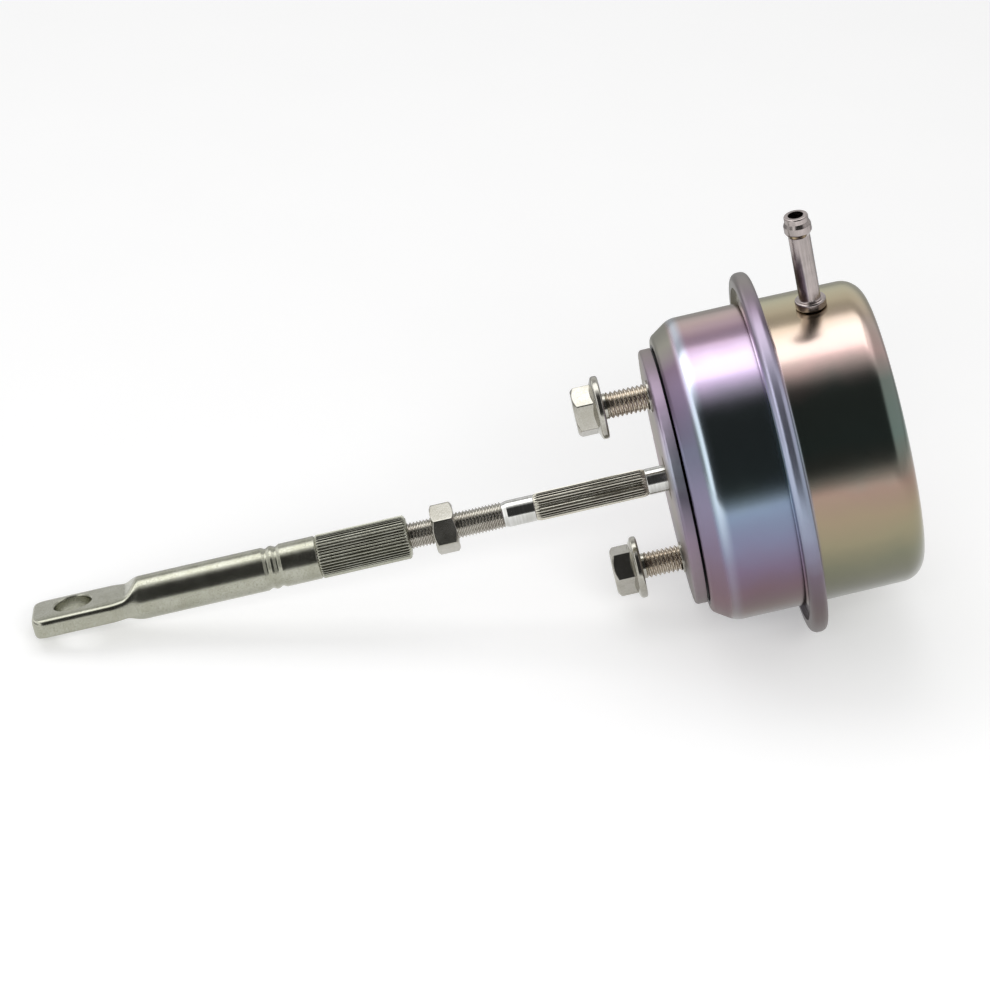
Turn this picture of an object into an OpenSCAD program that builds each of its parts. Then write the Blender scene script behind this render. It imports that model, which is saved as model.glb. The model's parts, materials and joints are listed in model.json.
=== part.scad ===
// Turbocharger wastegate actuator: a two-shell diaphragm canister with a spring-loaded rod,
// a threaded rod end with a pressed eye, and two flange bolts that hold it to a bracket.
// Origin at the centre of the mounting plate's front face, +X into the canister,
// +Z up through the hose barb. All lengths are in millimetres.

/* [Canister] */
// Outside diameter of both shells beside the flange
shell_d = 68.8; // [64:0.2:74]
// Thickness of the front shell's sheet
front_sheet = 1.2; // [0.8:0.1:1.4]
// Thickness of the rear shell's sheet
rear_sheet = 1.0; // [0.8:0.1:1.2]
// Distance from the mounting face to the middle of the crimped flange
flange_x = 26; // [25:0.5:30]
// Reach of the crimped flange beyond the shells
flange_w = 6.6; // [5.8:0.1:9]
// Width of the lip that is folded over the front shell's flange
lip_w = 3.1; // [2:0.1:3.6]
// Distance from the mounting face to the rear end of the canister
canister_l = 51.4; // [51:0.1:56]
// Radius of the rear shell's end corner
rear_corner = 5.2; // [3:0.1:7]
// How much the rear shell narrows on each side towards its end
rear_draft = 0.25; // [0:0.05:0.5]
// How far the front shell's shoulder narrows it on each side
shoulder_w = 3.2; // [3:0.1:4]
// Length of the front shell's sloping shoulder
shoulder_l = 3.4; // [2.5:0.1:4.5]

/* [Mounting plate and bolts] */
// How far the mounting plate's rim stays inside the front shell's shoulder
plate_inset = 2.2; // [1.8:0.1:3.4]
// Thickness of the mounting plate
plate_t = 2.5; // [2:0.1:3.5]
// Diameter of the hole that the rod comes out of
rod_hole_d = 10; // [9:0.1:11]
// Distance from the mounting plate's rim to each bolt's axis
bolt_inset = 7.75; // [7.5:0.25:9]
// Thread diameter of the flange bolts
bolt_d = 6; // [5:0.1:6.2]
// Length of each flange bolt under its head
bolt_l = 16; // [14:0.5:18]
// Width across the flats of the bolt heads and nuts
hex_flats = 10; // [9.5:0.1:10.2]
// Diameter of the flange under each bolt head
bolt_flange_d = 14.2; // [13:0.1:15]
// Height of each bolt head with its flange
bolt_head_h = 6.6; // [5.5:0.1:7.5]
// How far the upper bolt's flange stands off the plate
upper_standoff = 10.5; // [8:0.1:12]
// How far the lower bolt's flange stands off the plate
lower_standoff = 9.5; // [8:0.1:12]
// Turn of the upper bolt's hexagon
upper_turn = 18; // [0:1:60]
// Turn of the lower bolt's hexagon
lower_turn = 48; // [0:1:60]
// Height of the weld nuts behind the shell
weld_nut_h = 5; // [4:0.1:6]
// How far the weld nuts' collars stand out of the plate
collar_out = 0.5; // [0.2:0.1:0.8]
// Wall of the weld nuts' collars
collar_wall = 0.55; // [0.4:0.05:0.8]

/* [Hose barb] */
// Distance from the mounting face to the barb's axis
barb_x = 38.4; // [37:0.2:41]
// Height of the barb above the shell
barb_h = 22.4; // [18:0.2:26]
// Outside diameter of the barb's tube
barb_tube_d = 4.8; // [4.4:0.1:5.2]
// Bore of the barb
barb_bore_d = 3.4; // [2.8:0.1:3.6]
// Largest diameter of the barb's bulge
barb_bulge_d = 6.05; // [5.8:0.05:6.6]
// Diameter of the barb's tip
barb_tip_d = 5.3; // [5.3:0.1:5.6]
// Diameter of the collar that sits on the shell
barb_collar_d = 6.9; // [6.6:0.1:7.6]
// Height of the collar that sits on the shell
barb_collar_h = 1.9; // [1.4:0.1:2.6]

/* [Rod] */
// Diameter of the rod and of its thread
rod_d = 6; // [5.4:0.1:6.2]
// Diameter over the rod's knurl
rod_knurl_d = 6.3; // [6.3:0.05:6.6]
// Polished length between the plate and the knurl
neck_l = 4.6; // [2:0.2:8]
// Length of the rod's knurl
rod_knurl_l = 25.5; // [20:0.5:30]
// Polished length between the knurl and the thread
polished_l = 7.5; // [5:0.5:12]
// Length of the rod's outer thread
rod_thread_l = 41; // [39:0.5:46]
// Number of teeth round the rod's knurl
rod_teeth = 24; // [18:1:32]

/* [Jam nut and rod end] */
// Thread left between the polished length and the jam nut
thread_left = 10.5; // [10:0.1:13]
// Thickness of the jam nut
jam_nut_h = 5.2; // [4:0.1:6]
// Turn of the jam nut's hexagon
jam_nut_turn = 21; // [0:1:60]
// Thread left between the jam nut and the rod end
nut_gap = 5.5; // [5.5:0.1:7]
// Outside diameter of the rod end's sleeve
sleeve_d = 9.8; // [9.4:0.1:10.6]
// Length of the rod end's sleeve up to its shoulder
sleeve_l = 60.8; // [56:0.5:66]
// Length of the sleeve's knurl
sleeve_knurl_l = 20.7; // [16:0.5:26]
// Number of teeth round the sleeve's knurl
sleeve_teeth = 40; // [30:1:48]
// Depth of the thread in the sleeve
sleeve_bore_l = 26; // [25:0.5:30]
// Distance from the sleeve's open end to the nearer groove
groove_from_end = 29.8; // [26:0.2:34]
// Distance between the two grooves
groove_step = 2.3; // [1.8:0.1:3]
// Length of the rod end past its shoulder
eye_l = 25.1; // [22:0.5:28]
// Width of the flattened eye
eye_w = 13; // [12.6:0.1:15]
// Thickness of the flattened eye
eye_t = 4.2; // [3.6:0.1:5]
// Diameter of the eye's hole
eye_hole_d = 8.5; // [7.5:0.1:8.8]
// Distance from the eye's end to the hole's centre
eye_hole_from_end = 9.4; // [8.6:0.1:11]
// Turn of the rod end about the rod
eye_turn = 15; // [-30:1:30]

/* [Inside] */
// Thickness of the diaphragm
diaphragm_t = 0.6; // [0.4:0.1:0.8]
// Space for the diaphragm's roll between the piston and the shell
roll_w = 5.2; // [4.7:0.1:5.7]
// Length of the piston's skirt
piston_l = 26.3; // [22:0.1:27]
// Thickness of the piston, the retainer and the clamp washer
stack_t = 1; // [0.8:0.1:1.2]
// How far the retainer plate stays inside the piston's rim
retainer_inset = 4; // [3:0.5:6]
// Wire diameter of the spring
wire_d = 2.8; // [2:0.1:2.8]
// Mean diameter of the spring
spring_d = 24.6; // [24:0.1:25]
// Number of turns in the spring
spring_turns = 6.5; // [5:0.5:8]
// Diameter of the rod where it passes through the piston
stud_d = 5; // [4:0.1:5]
// Height of the nut on the piston
piston_nut_h = 3.5; // [3:0.1:4]
// Width across the flats of the nut on the piston
piston_nut_flats = 8; // [7:0.1:8.5]
// Length of the guide bush
bush_l = 9; // [7:0.5:12]
// Diameter of the guide bush behind its flange
bush_d = 11; // [10:0.1:11.4]
// Diameter of the guide bush's flange
bush_flange_d = 15; // [14:0.1:15.4]
// Outside diameter of the rubber bump stop
bump_d = 32; // [30:0.5:34]

/* [Hidden] */

// Clearances and small shared sizes
thread_gap = 0.03;
slide_gap = 0.04;
pilot_gap = 0.05;
soft_gap = 0.3;
rim_gap = 0.2;
edge = 0.4;
bend = 1;
bore_chamfer = 0.5;

// Radii and stations of the canister
shell_r = shell_d / 2;
flange_r = shell_r + flange_w;
front_flange_x = flange_x - diaphragm_t / 2 - front_sheet;
rear_flange_x = flange_x + diaphragm_t / 2 + rear_sheet;
lip_x = front_flange_x - rear_sheet;
front_inner_x = plate_t + front_sheet;
rear_inner_x = canister_l - rear_sheet;
front_inner_r = shell_r - front_sheet;
front_face_r = shell_r - shoulder_w;
plate_r = front_face_r - plate_inset;

// Radii of the bolts and of the holes they pass
bolt_r = bolt_d / 2;
lead_r = bolt_r - 0.05;
bolt_bore_r = bolt_r + thread_gap;
collar_r = bolt_bore_r + collar_wall;
pilot_hole_r = collar_r + pilot_gap;
bolt_z = plate_r - bolt_inset;

// Stations along the rod, counted away from the plate
rod_r = rod_d / 2;
knurl_x = -neck_l;
polished_x = knurl_x - rod_knurl_l;
thread_x = polished_x - polished_l;
rod_tip_x = thread_x - rod_thread_l;
nut_x = thread_x - thread_left - jam_nut_h;
sleeve_x = nut_x - nut_gap;
shoulder_x = sleeve_x - sleeve_l;
eye_end_x = shoulder_x - eye_l;
eye_hole_x = eye_end_x + eye_hole_from_end;
thread_bore_r = rod_r + thread_gap;
rod_knurl_depth = 0.3;
sleeve_knurl_depth = 0.35;

// Stations of the piston's stack, counted forward from the rear shell
nut_back_x = rear_inner_x - 2 * soft_gap;
nut_front_x = nut_back_x - piston_nut_h;
retainer_x = nut_front_x - 2 * stack_t;
head_back_x = retainer_x - diaphragm_t;
head_front_x = head_back_x - stack_t;
piston_r = front_inner_r - roll_w;
retainer_r = piston_r - retainer_inset;
stud_r = stud_d / 2;
stud_hole_r = stud_r + thread_gap;
rod_collar_r = rod_r + 1.5;
rod_collar_l = 1.5;

// Stations of the guide
wiper_l = 2.2;
bush_x = front_inner_x + 0.1;
bush_flange_l = 1.4;
cap_t = 0.8;
cap_x = bush_x + bush_flange_l + 0.2;
seat_lip_r = spring_d / 2 - wire_d / 2 - soft_gap;
seat_t = 0.8;
seat_lip = 2.4;
retainer_lip = 2.6;
seat_x = front_inner_x + seat_t;
spring_end_gap = 0.2;
bump_bore_r = piston_nut_flats / 2 / cos(30) + 3;

// A vector of length one along v
function unit(v) = v / norm(v);

// Points of the corner at b, between a and c, rounded to radius r
function corner(a, b, c, r, steps = 5) =
    r <= 0 ? [b] :
    let (
        u = unit(a - b),
        v = unit(c - b),
        half = acos(u * v) / 2,
        centre = b + unit(u + v) * r / sin(half),
        p = b + u * r / tan(half) - centre,
        q = b + v * r / tan(half) - centre
    )
    [for (i = [0 : steps]) centre + unit(p * (steps - i) + q * i) * r];

// The plane part of a corner that carries its radius as a third value
function plane(p) = [p.x, p.y];

// A path through corners of the form [x, y, radius], each rounded
function rounded(pts) = [
    for (i = [0 : len(pts) - 1])
        each i == 0 || i == len(pts) - 1 || is_undef(pts[i].z)
            ? [plane(pts[i])]
            : corner(plane(pts[i - 1]), plane(pts[i]), plane(pts[i + 1]), pts[i].z)
];

// The normal on the left of the way from a to b
function left_of(a, b) = let (d = unit(b - a)) [-d.y, d.x];

// The path moved by t to its left, with mitred corners
function beside(path, t) = [
    for (i = [0 : len(path) - 1])
        let (
            before = left_of(path[max(i - 1, 0)], path[max(i, 1)]),
            after = i < len(path) - 1 ? left_of(path[i], path[i + 1]) : before,
            mitre = unit(before + after)
        )
        path[i] + mitre * t / (mitre * before)
];

// The closed outline of a sheet that lies between the path and t to its left
function sheet_outline(path, t) =
    let (far = beside(path, t))
    concat(path, [for (i = [len(far) - 1 : -1 : 0]) far[i]]);

// An outline of [radius, station] points turned round the X axis
module turned(points) {
    rotate([0, 90, 0]) rotate_extrude($fn = 96) polygon(points);
}

// A round bar from one station to another
module bar(r, from, to) {
    translate([from, 0, 0]) rotate([0, 90, 0]) cylinder(r = r, h = to - from, $fn = 64);
}

// A hexagonal bar, turned about its own axis
module hex_bar(flats, from, to, turn = 0) {
    translate([from, 0, 0]) rotate([turn, 0, 0]) rotate([0, 90, 0])
        cylinder(r = flats / 2 / cos(30), h = to - from, $fn = 6);
}

// A hexagonal nut with chamfered corners on the ends that ask for it
module hex_nut(flats, from, to, bore_r, turn = 0, front = true, back = true) {
    corner_r = flats / 2 / cos(30);
    cut = corner_r - flats / 2;
    drop = cut * 0.75;
    difference() {
        intersection() {
            hex_bar(flats, from, to, turn);
            turned([
                [0, from], [corner_r - (front ? cut : 0), from], [corner_r + 0.1, from + (front ? drop : 0)],
                [corner_r + 0.1, to - (back ? drop : 0)], [corner_r - (back ? cut : 0), to], [0, to]
            ]);
        }
        bar(bore_r, from - 1, to + 1);
        turned([
            [0, from - 1], [bore_r + 1, from - 1],
            [bore_r + 0.01, from + bore_chamfer], [0, from + bore_chamfer]
        ]);
        turned([
            [0, to + 1], [bore_r + 1, to + 1],
            [bore_r + 0.01, to - bore_chamfer], [0, to - bore_chamfer]
        ]);
    }
}

// A straight knurl: a bar with V grooves along it
module knurl(r, depth, teeth, from, to) {
    step = 180 / teeth;
    translate([from, 0, 0]) rotate([90, 0, 90]) linear_extrude(height = to - from)
        polygon([for (i = [0 : 2 * teeth - 1]) (r - depth * (i % 2)) * [cos(i * step), sin(i * step)]]);
}

// The two holes or pins of the bolt pattern
module at_bolts() {
    for (side = [-1, 1]) translate([0, 0, side * bolt_z]) children();
}

// Front shell: a pressed cup with a sloping shoulder and an outward flange
module front_shell() {
    path = rounded([
        [rod_hole_d / 2, plate_t],
        [front_face_r, plate_t, 2],
        [shell_r, plate_t + shoulder_l, 2.4],
        [shell_r, front_flange_x, bend],
        [flange_r - rear_sheet - rim_gap, front_flange_x]
    ]);
    color("thistle") difference() {
        turned(sheet_outline(path, front_sheet));
        at_bolts() bar(pilot_hole_r, 0, front_inner_x + 1);
    }
}

// Rear shell: a deep cup whose rim is folded over the front shell's flange
module rear_shell() {
    path = rounded([
        [0, canister_l],
        [shell_r - rear_draft, canister_l, rear_corner],
        [shell_r, rear_flange_x, bend],
        [flange_r, rear_flange_x, rear_sheet + 0.15],
        [flange_r, lip_x, rear_sheet + 0.15],
        [flange_r - lip_w, lip_x]
    ]);
    color("darkkhaki") difference() {
        turned(sheet_outline(path, -rear_sheet));
        translate([barb_x, 0, shell_r - 6]) cylinder(r = barb_tube_d / 2 + pilot_gap, h = 12, $fn = 64);
    }
}

// Mounting plate: a turned disc with a soft edge, spot welded to the front shell
module mounting_plate() {
    path = rounded([
        [rod_hole_d / 2, 0], [plate_r, 0, 0.7], [plate_r, plate_t, edge], [rod_hole_d / 2, plate_t]
    ]);
    color("rosybrown") difference() {
        turned(path);
        at_bolts() bar(pilot_hole_r, -1, plate_t + 1);
    }
}

// Weld nut: a hexagon behind the shell, with a pilot collar that shows at the plate
module weld_nut() {
    back_x = front_inner_x + weld_nut_h;
    color("gainsboro") difference() {
        union() {
            hex_nut(hex_flats, front_inner_x, back_x, bolt_bore_r, turn = 30, front = false);
            turned(rounded([
                [bolt_bore_r, -collar_out], [collar_r, -collar_out, 0.15],
                [collar_r, front_inner_x + 1], [bolt_bore_r, front_inner_x + 1]
            ]));
        }
        bar(bolt_bore_r, -1, back_x + 1);
    }
}

// Flange bolt: a hexagon on a dished flange, and a shank that ends in a lead-in
module flange_bolt(standoff, turn) {
    seat = -standoff;
    tip = bolt_l - standoff;
    top = seat - bolt_head_h;
    flange_br = bolt_flange_d / 2;
    corner_r = hex_flats / 2 / cos(30);
    lead_x = -collar_out - 0.2;
    color("silver") union() {
        bar(bolt_r, seat - 1, lead_x);
        turned([[0, lead_x - 1], [lead_r, lead_x - 1], [lead_r, tip - 0.8], [lead_r - 0.7, tip], [0, tip]]);
        turned(rounded([
            [0, seat], [flange_br, seat, 0.45], [flange_br, seat - 1.2, 0.5],
            [corner_r - 0.3, seat - 2, 1.2], [corner_r - 1.6, seat - 3], [0, seat - 3]
        ]));
        intersection() {
            hex_bar(hex_flats, top, seat - 1, turn);
            turned(rounded([
                [0, top], [hex_flats / 2 - 0.25, top, 0.6], [corner_r + 0.1, top + 1],
                [corner_r + 0.1, seat - 1], [0, seat - 1]
            ]));
        }
    }
}

// Hose barb: a turned tube with a seating collar and one bulge near its tip
module hose_barb() {
    top = shell_r + barb_h;
    tube_r = barb_tube_d / 2;
    bulge_r = barb_bulge_d / 2;
    seat = shell_r + 0.02;
    outside = rounded([
        [barb_bore_d / 2, shell_r - rear_sheet - 1.2],
        [tube_r, shell_r - rear_sheet - 1.2],
        [tube_r, seat],
        [barb_collar_d / 2, seat, 0.25],
        [barb_collar_d / 2, seat + barb_collar_h, 0.45],
        [tube_r, seat + barb_collar_h, 0.2],
        [tube_r, top - 4.7, 0.6],
        [bulge_r, top - 3.7, 0.5],
        [bulge_r, top - 2.2, 0.5],
        [barb_tip_d / 2, top - 1.3, 0.5],
        [barb_tip_d / 2, top, 0.35],
        [barb_bore_d / 2, top]
    ]);
    color("lightgray") translate([barb_x, 0, 0]) rotate_extrude($fn = 96) polygon(outside);
}

// Guide bush: a flanged sleeve that floats behind the plate and carries the rod
module guide_bush() {
    bore_r = rod_r + slide_gap;
    back_x = bush_x + bush_l;
    color("tan") difference() {
        turned(rounded([
            [bore_r, bush_x], [bush_flange_d / 2, bush_x, edge],
            [bush_flange_d / 2, bush_x + bush_flange_l, edge], [bush_d / 2, bush_x + bush_flange_l, edge],
            [bush_d / 2, back_x, edge], [bore_r, back_x]
        ]));
        bar(bore_r, bush_x - 1, back_x + 1);
    }
}

// Guide retainer: a pressed cap, welded to the front shell over the bush's flange
module guide_retainer() {
    inside_r = bush_flange_d / 2 + 0.2;
    path = rounded([
        [seat_lip_r - seat_t - 0.2, front_inner_x],
        [inside_r, front_inner_x, cap_t + 0.2],
        [inside_r, cap_x, 0.2],
        [bush_d / 2 + soft_gap, cap_x]
    ]);
    color("gray") turned(sheet_outline(path, -cap_t));
}

// Rod wiper: a soft ring that closes the plate's hole round the rod
module rod_wiper() {
    color("dimgray") turned([
        [rod_r + slide_gap, front_inner_x - wiper_l], [rod_hole_d / 2 - pilot_gap, front_inner_x - wiper_l],
        [rod_hole_d / 2 - pilot_gap, front_inner_x], [rod_r + slide_gap, front_inner_x]
    ]);
}

// Spring seat: a pressed ring whose inner lip centres the spring
module spring_seat() {
    seat_r = spring_d / 2 + wire_d / 2 + soft_gap;
    color("slategray") turned([
        [seat_lip_r - seat_t, front_inner_x], [seat_r, front_inner_x], [seat_r, seat_x],
        [seat_lip_r, seat_x], [seat_lip_r, seat_x + seat_lip], [seat_lip_r - seat_t, seat_x + seat_lip]
    ]);
}

// Spring: one wire wound between the seat and the piston, with closed ends
module spring() {
    sides = 8;
    per_turn = 20;
    rings = spring_turns * per_turn;
    wire_r = wire_d / 2;
    first_x = seat_x + spring_end_gap + wire_r;
    last_x = head_front_x - spring_end_gap - wire_r;
    closed = 1 / spring_turns;
    lead = 1.05 * wire_d;
    // Station of the wire's centre at the share s of the winding
    function wind(s) =
        s < closed ? first_x + lead * s / closed
        : s > 1 - closed ? last_x - lead * (1 - s) / closed
        : first_x + lead + (last_x - first_x - 2 * lead) * (s - closed) / (1 - 2 * closed);
    points = [
        for (i = [0 : rings], j = [0 : sides - 1])
            let (turn = 360 * i / per_turn, round = 360 * j / sides, r = spring_d / 2 + wire_r * cos(round))
            [wind(i / rings) + wire_r * sin(round), r * cos(turn), r * sin(turn)]
    ];
    sleeve = [
        for (i = [0 : rings - 1], j = [0 : sides - 1])
            let (k = (j + 1) % sides)
            [i * sides + j, i * sides + k, (i + 1) * sides + k, (i + 1) * sides + j]
    ];
    start = [for (j = [sides - 1 : -1 : 0]) j];
    finish = [for (j = [0 : sides - 1]) rings * sides + j];
    color("darkgray") polyhedron(points, concat([start], sleeve, [finish]), convexity = 10);
}

// Bump stop: a rubber ring bonded to the rear shell, where the piston's stack rests
module bump_stop() {
    front_x = retainer_x + stack_t + soft_gap;
    color("black") turned(rounded([
        [bump_bore_r, front_x], [bump_d / 2, front_x, 1],
        [bump_d / 2, rear_inner_x], [bump_bore_r, rear_inner_x]
    ]));
}

// Piston: a drawn cup that holds the spring and backs the diaphragm
module piston() {
    path = rounded([
        [stud_hole_r, head_back_x],
        [piston_r, head_back_x, 2.2],
        [piston_r, head_back_x - piston_l]
    ]);
    color("lightsteelblue") turned(sheet_outline(path, -stack_t));
}

// Diaphragm: clamped under the retainer, rolled between piston and shell, held in the crimp
module diaphragm() {
    inner_r = piston_r + soft_gap + diaphragm_t / 2;
    outer_r = front_inner_r - soft_gap - diaphragm_t / 2;
    roll_x = (flange_x + head_back_x - piston_l) / 2 - 1;
    roll_r = (outer_r - inner_r) / 2 - 0.01;
    middle = head_back_x + diaphragm_t / 2;
    path = rounded([
        [stud_hole_r, middle],
        [inner_r, middle, 2.5],
        [inner_r, roll_x, roll_r],
        [outer_r, roll_x, roll_r],
        [outer_r, flange_x, 2.2],
        [flange_r - rear_sheet - rim_gap, flange_x]
    ]);
    color("darkslategray") turned(concat(
        beside(path, diaphragm_t / 2),
        [for (i = [len(path) - 1 : -1 : 0]) beside(path, -diaphragm_t / 2)[i]]
    ));
}

// Retainer plate: clamps the diaphragm to the piston
module retainer_plate() {
    path = rounded([
        [stud_hole_r, retainer_x], [retainer_r, retainer_x, 1.6], [retainer_r, retainer_x + retainer_lip]
    ]);
    color("silver") turned(sheet_outline(path, stack_t));
}

// Clamp washer under the nut on the piston
module clamp_washer() {
    washer_r = piston_nut_flats * 0.8;
    color("gainsboro") turned([
        [stud_hole_r, retainer_x + stack_t], [washer_r, retainer_x + stack_t],
        [washer_r, nut_front_x], [stud_hole_r, nut_front_x]
    ]);
}

// Nut that holds the piston's stack on the rod
module piston_nut() {
    color("silver") hex_nut(piston_nut_flats, nut_front_x, nut_back_x, stud_hole_r);
}

// Rod: polished, knurled, polished and threaded, with a shoulder and a stud for the piston
module rod() {
    taper = 1.3;
    core_r = rod_r - 0.35;
    color("lightgray") union() {
        turned(rounded([
            [0, rod_tip_x], [rod_r - 0.8, rod_tip_x], [rod_r, rod_tip_x + 0.8],
            [rod_r, thread_x - 0.6], [core_r, thread_x], [rod_r, thread_x + taper, 0.8],
            [rod_r, head_front_x - rod_collar_l], [rod_collar_r, head_front_x - rod_collar_l],
            [rod_collar_r, head_front_x], [stud_r, head_front_x], [stud_r, nut_back_x - 0.5],
            [stud_r - 0.5, nut_back_x], [0, nut_back_x]
        ]));
        knurl(rod_knurl_d / 2, rod_knurl_depth, rod_teeth, polished_x, knurl_x);
    }
}

// Jam nut that locks the rod end on the rod
module jam_nut() {
    color("silver") hex_nut(hex_flats, nut_x, nut_x + jam_nut_h, thread_bore_r, turn = jam_nut_turn);
}

// The share from 0 to 1, eased at both ends
function eased(s) = let (t = min(max(s, 0), 1)) t * t * (3 - 2 * t);

// One ring of the pressed eye at the station x: a round that turns into a soft flat bar
function eye_ring(x, sides) =
    let (
        from_shoulder = shoulder_x - x,
        to_end = x - eye_end_x,
        flat = eased(from_shoulder / 4.4),
        spread = eased(from_shoulder / 7.5),
        round_r = 2.8,
        round_end_r = sleeve_d / 2 - 0.03,
        nose = to_end < round_r ? round_r - sqrt(max(round_r * round_r - pow(round_r - to_end, 2), 0)) : 0,
        thin = to_end < 0.9 ? 0.9 - sqrt(max(0.81 - pow(0.9 - to_end, 2), 0)) : 0,
        half_w = round_end_r * (1 - spread) + eye_w / 2 * spread - nose,
        half_t = round_end_r * (1 - flat) + eye_t / 2 * flat - thin,
        power = 2 / (2 + 3.2 * flat)
    )
    [
        for (j = [0 : sides - 1])
            let (a = 360 * j / sides, c = cos(a), s = sin(a))
            [x, half_w * sign(c) * pow(abs(c), power), half_t * sign(s) * pow(abs(s), power)]
    ];

// The pressed eye: rings from inside the sleeve's shoulder to the rounded end
module eye() {
    sides = 36;
    stations = concat(
        [for (i = [0 : 8]) shoulder_x + 0.4 - i],
        [eye_hole_x + 3],
        [for (i = [0 : 6]) eye_end_x + 2.8 * (1 - sin(15 * i)) + 0.02]
    );
    rings = len(stations);
    points = [for (x = stations) each eye_ring(x, sides)];
    faces = [
        for (i = [0 : rings - 2], j = [0 : sides - 1])
            let (k = (j + 1) % sides)
            [i * sides + j, i * sides + k, (i + 1) * sides + k, (i + 1) * sides + j]
    ];
    first = [for (j = [sides - 1 : -1 : 0]) j];
    last = [for (j = [0 : sides - 1]) (rings - 1) * sides + j];
    polyhedron(points, concat([first], faces, [last]), convexity = 6);
}

// Rod end: a threaded sleeve with a knurl and two grooves, pressed flat into an eye
module rod_end() {
    r = sleeve_d / 2;
    core_r = r - 0.25;
    knurl_end_x = sleeve_x - sleeve_knurl_l;
    groove_x = sleeve_x - groove_from_end;
    groove_w = 0.9;
    groove_deep = 0.45;
    function groove(x) = [[r, x + groove_w, 0.3], [r - groove_deep, x, 0.5], [r, x - groove_w, 0.3]];
    color("silver") rotate([-eye_turn, 0, 0]) difference() {
        union() {
            turned(rounded(concat(
                [[0, sleeve_x], [core_r - 0.35, sleeve_x], [core_r, sleeve_x - 0.4]],
                [[core_r, knurl_end_x], [r, knurl_end_x]],
                groove(groove_x),
                groove(groove_x - groove_step),
                [[r, shoulder_x], [0, shoulder_x]]
            )));
            knurl(r + 0.05, sleeve_knurl_depth, sleeve_teeth, knurl_end_x, sleeve_x - 0.4);
            eye();
        }
        bar(thread_bore_r, sleeve_x - sleeve_bore_l, sleeve_x + 1);
        translate([eye_hole_x, 0, -eye_t]) cylinder(r = eye_hole_d / 2, h = 2 * eye_t, $fn = 64);
    }
}

front_shell();
rear_shell();
mounting_plate();
translate([0, 0, bolt_z]) weld_nut();  // weld_nut_upper
translate([0, 0, -bolt_z]) weld_nut();  // weld_nut_lower
translate([0, 0, bolt_z]) flange_bolt(upper_standoff, upper_turn);  // flange_bolt_upper
translate([0, 0, -bolt_z]) flange_bolt(lower_standoff, lower_turn);  // flange_bolt_lower
hose_barb();
guide_bush();
guide_retainer();
rod_wiper();
spring_seat();
spring();
bump_stop();
piston();
diaphragm();
retainer_plate();
clamp_washer();
piston_nut();
rod();
jam_nut();
rod_end();
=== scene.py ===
"""Wastegate actuator: the finished look of every piece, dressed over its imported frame."""

import json
import logging
import math
from collections.abc import Callable, Sequence
from dataclasses import dataclass
from enum import Enum

import bmesh
import bpy
from mathutils import Matrix, Vector, noise

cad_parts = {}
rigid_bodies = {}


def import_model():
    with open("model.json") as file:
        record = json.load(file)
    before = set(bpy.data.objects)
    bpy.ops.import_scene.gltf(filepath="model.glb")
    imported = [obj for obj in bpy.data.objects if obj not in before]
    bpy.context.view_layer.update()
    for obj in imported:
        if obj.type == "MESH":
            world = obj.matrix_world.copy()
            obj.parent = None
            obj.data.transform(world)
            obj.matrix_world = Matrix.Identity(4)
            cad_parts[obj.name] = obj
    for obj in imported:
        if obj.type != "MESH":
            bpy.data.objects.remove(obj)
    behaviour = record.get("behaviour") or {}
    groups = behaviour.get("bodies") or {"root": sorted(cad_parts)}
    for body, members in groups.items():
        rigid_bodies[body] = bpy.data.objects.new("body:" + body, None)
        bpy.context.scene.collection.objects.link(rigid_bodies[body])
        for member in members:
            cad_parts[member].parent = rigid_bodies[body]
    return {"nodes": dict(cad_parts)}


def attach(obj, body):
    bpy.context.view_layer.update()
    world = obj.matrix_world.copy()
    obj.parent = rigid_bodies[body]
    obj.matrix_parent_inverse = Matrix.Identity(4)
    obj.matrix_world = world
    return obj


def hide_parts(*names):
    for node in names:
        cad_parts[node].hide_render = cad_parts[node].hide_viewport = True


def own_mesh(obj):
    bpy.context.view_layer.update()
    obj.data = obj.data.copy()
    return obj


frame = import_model()

MM = 0.001
SMOOTH_ANGLE = math.radians(33)
LOG = logging.getLogger("actuator")

Colour = tuple[float, float, float]
Bands = tuple[tuple[float, Colour], ...]
Station = tuple[float, ...]
Ring = list[Vector]


class Body(str, Enum):
    """The bodies of the motion model that a piece may ride on."""

    HOUSING = "housing"
    PLUNGER = "plunger"
    ROD_END = "rod_end_group"
    JAM_NUT = "jam_nut_group"
    UPPER_BOLT = "upper_bolt_group"
    LOWER_BOLT = "lower_bolt_group"


class Slot(str, Enum):
    """The record's material slots, which the new pieces name; their finishes come from Finishes."""

    SHELL = "shell_zinc"
    PLATE = "plate_zinc"
    NICKEL = "nickel_steel"
    FORGED = "forged_nickel"
    BARB = "barb_nickel"
    SPRING = "spring_steel"
    RUBBER = "rubber"




def linear(colour: Colour) -> tuple[float, float, float, float]:
    """Turn a display colour into Blender's linear colour.

    Args:
        colour: Red, green and blue as they look on a screen, from 0 to 1.

    Returns:
        The linear colour with full opacity.
    """
    parts = [c / 12.92 if c <= 0.04045 else ((c + 0.055) / 1.055) ** 2.4 for c in colour]
    return (parts[0], parts[1], parts[2], 1.0)


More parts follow.
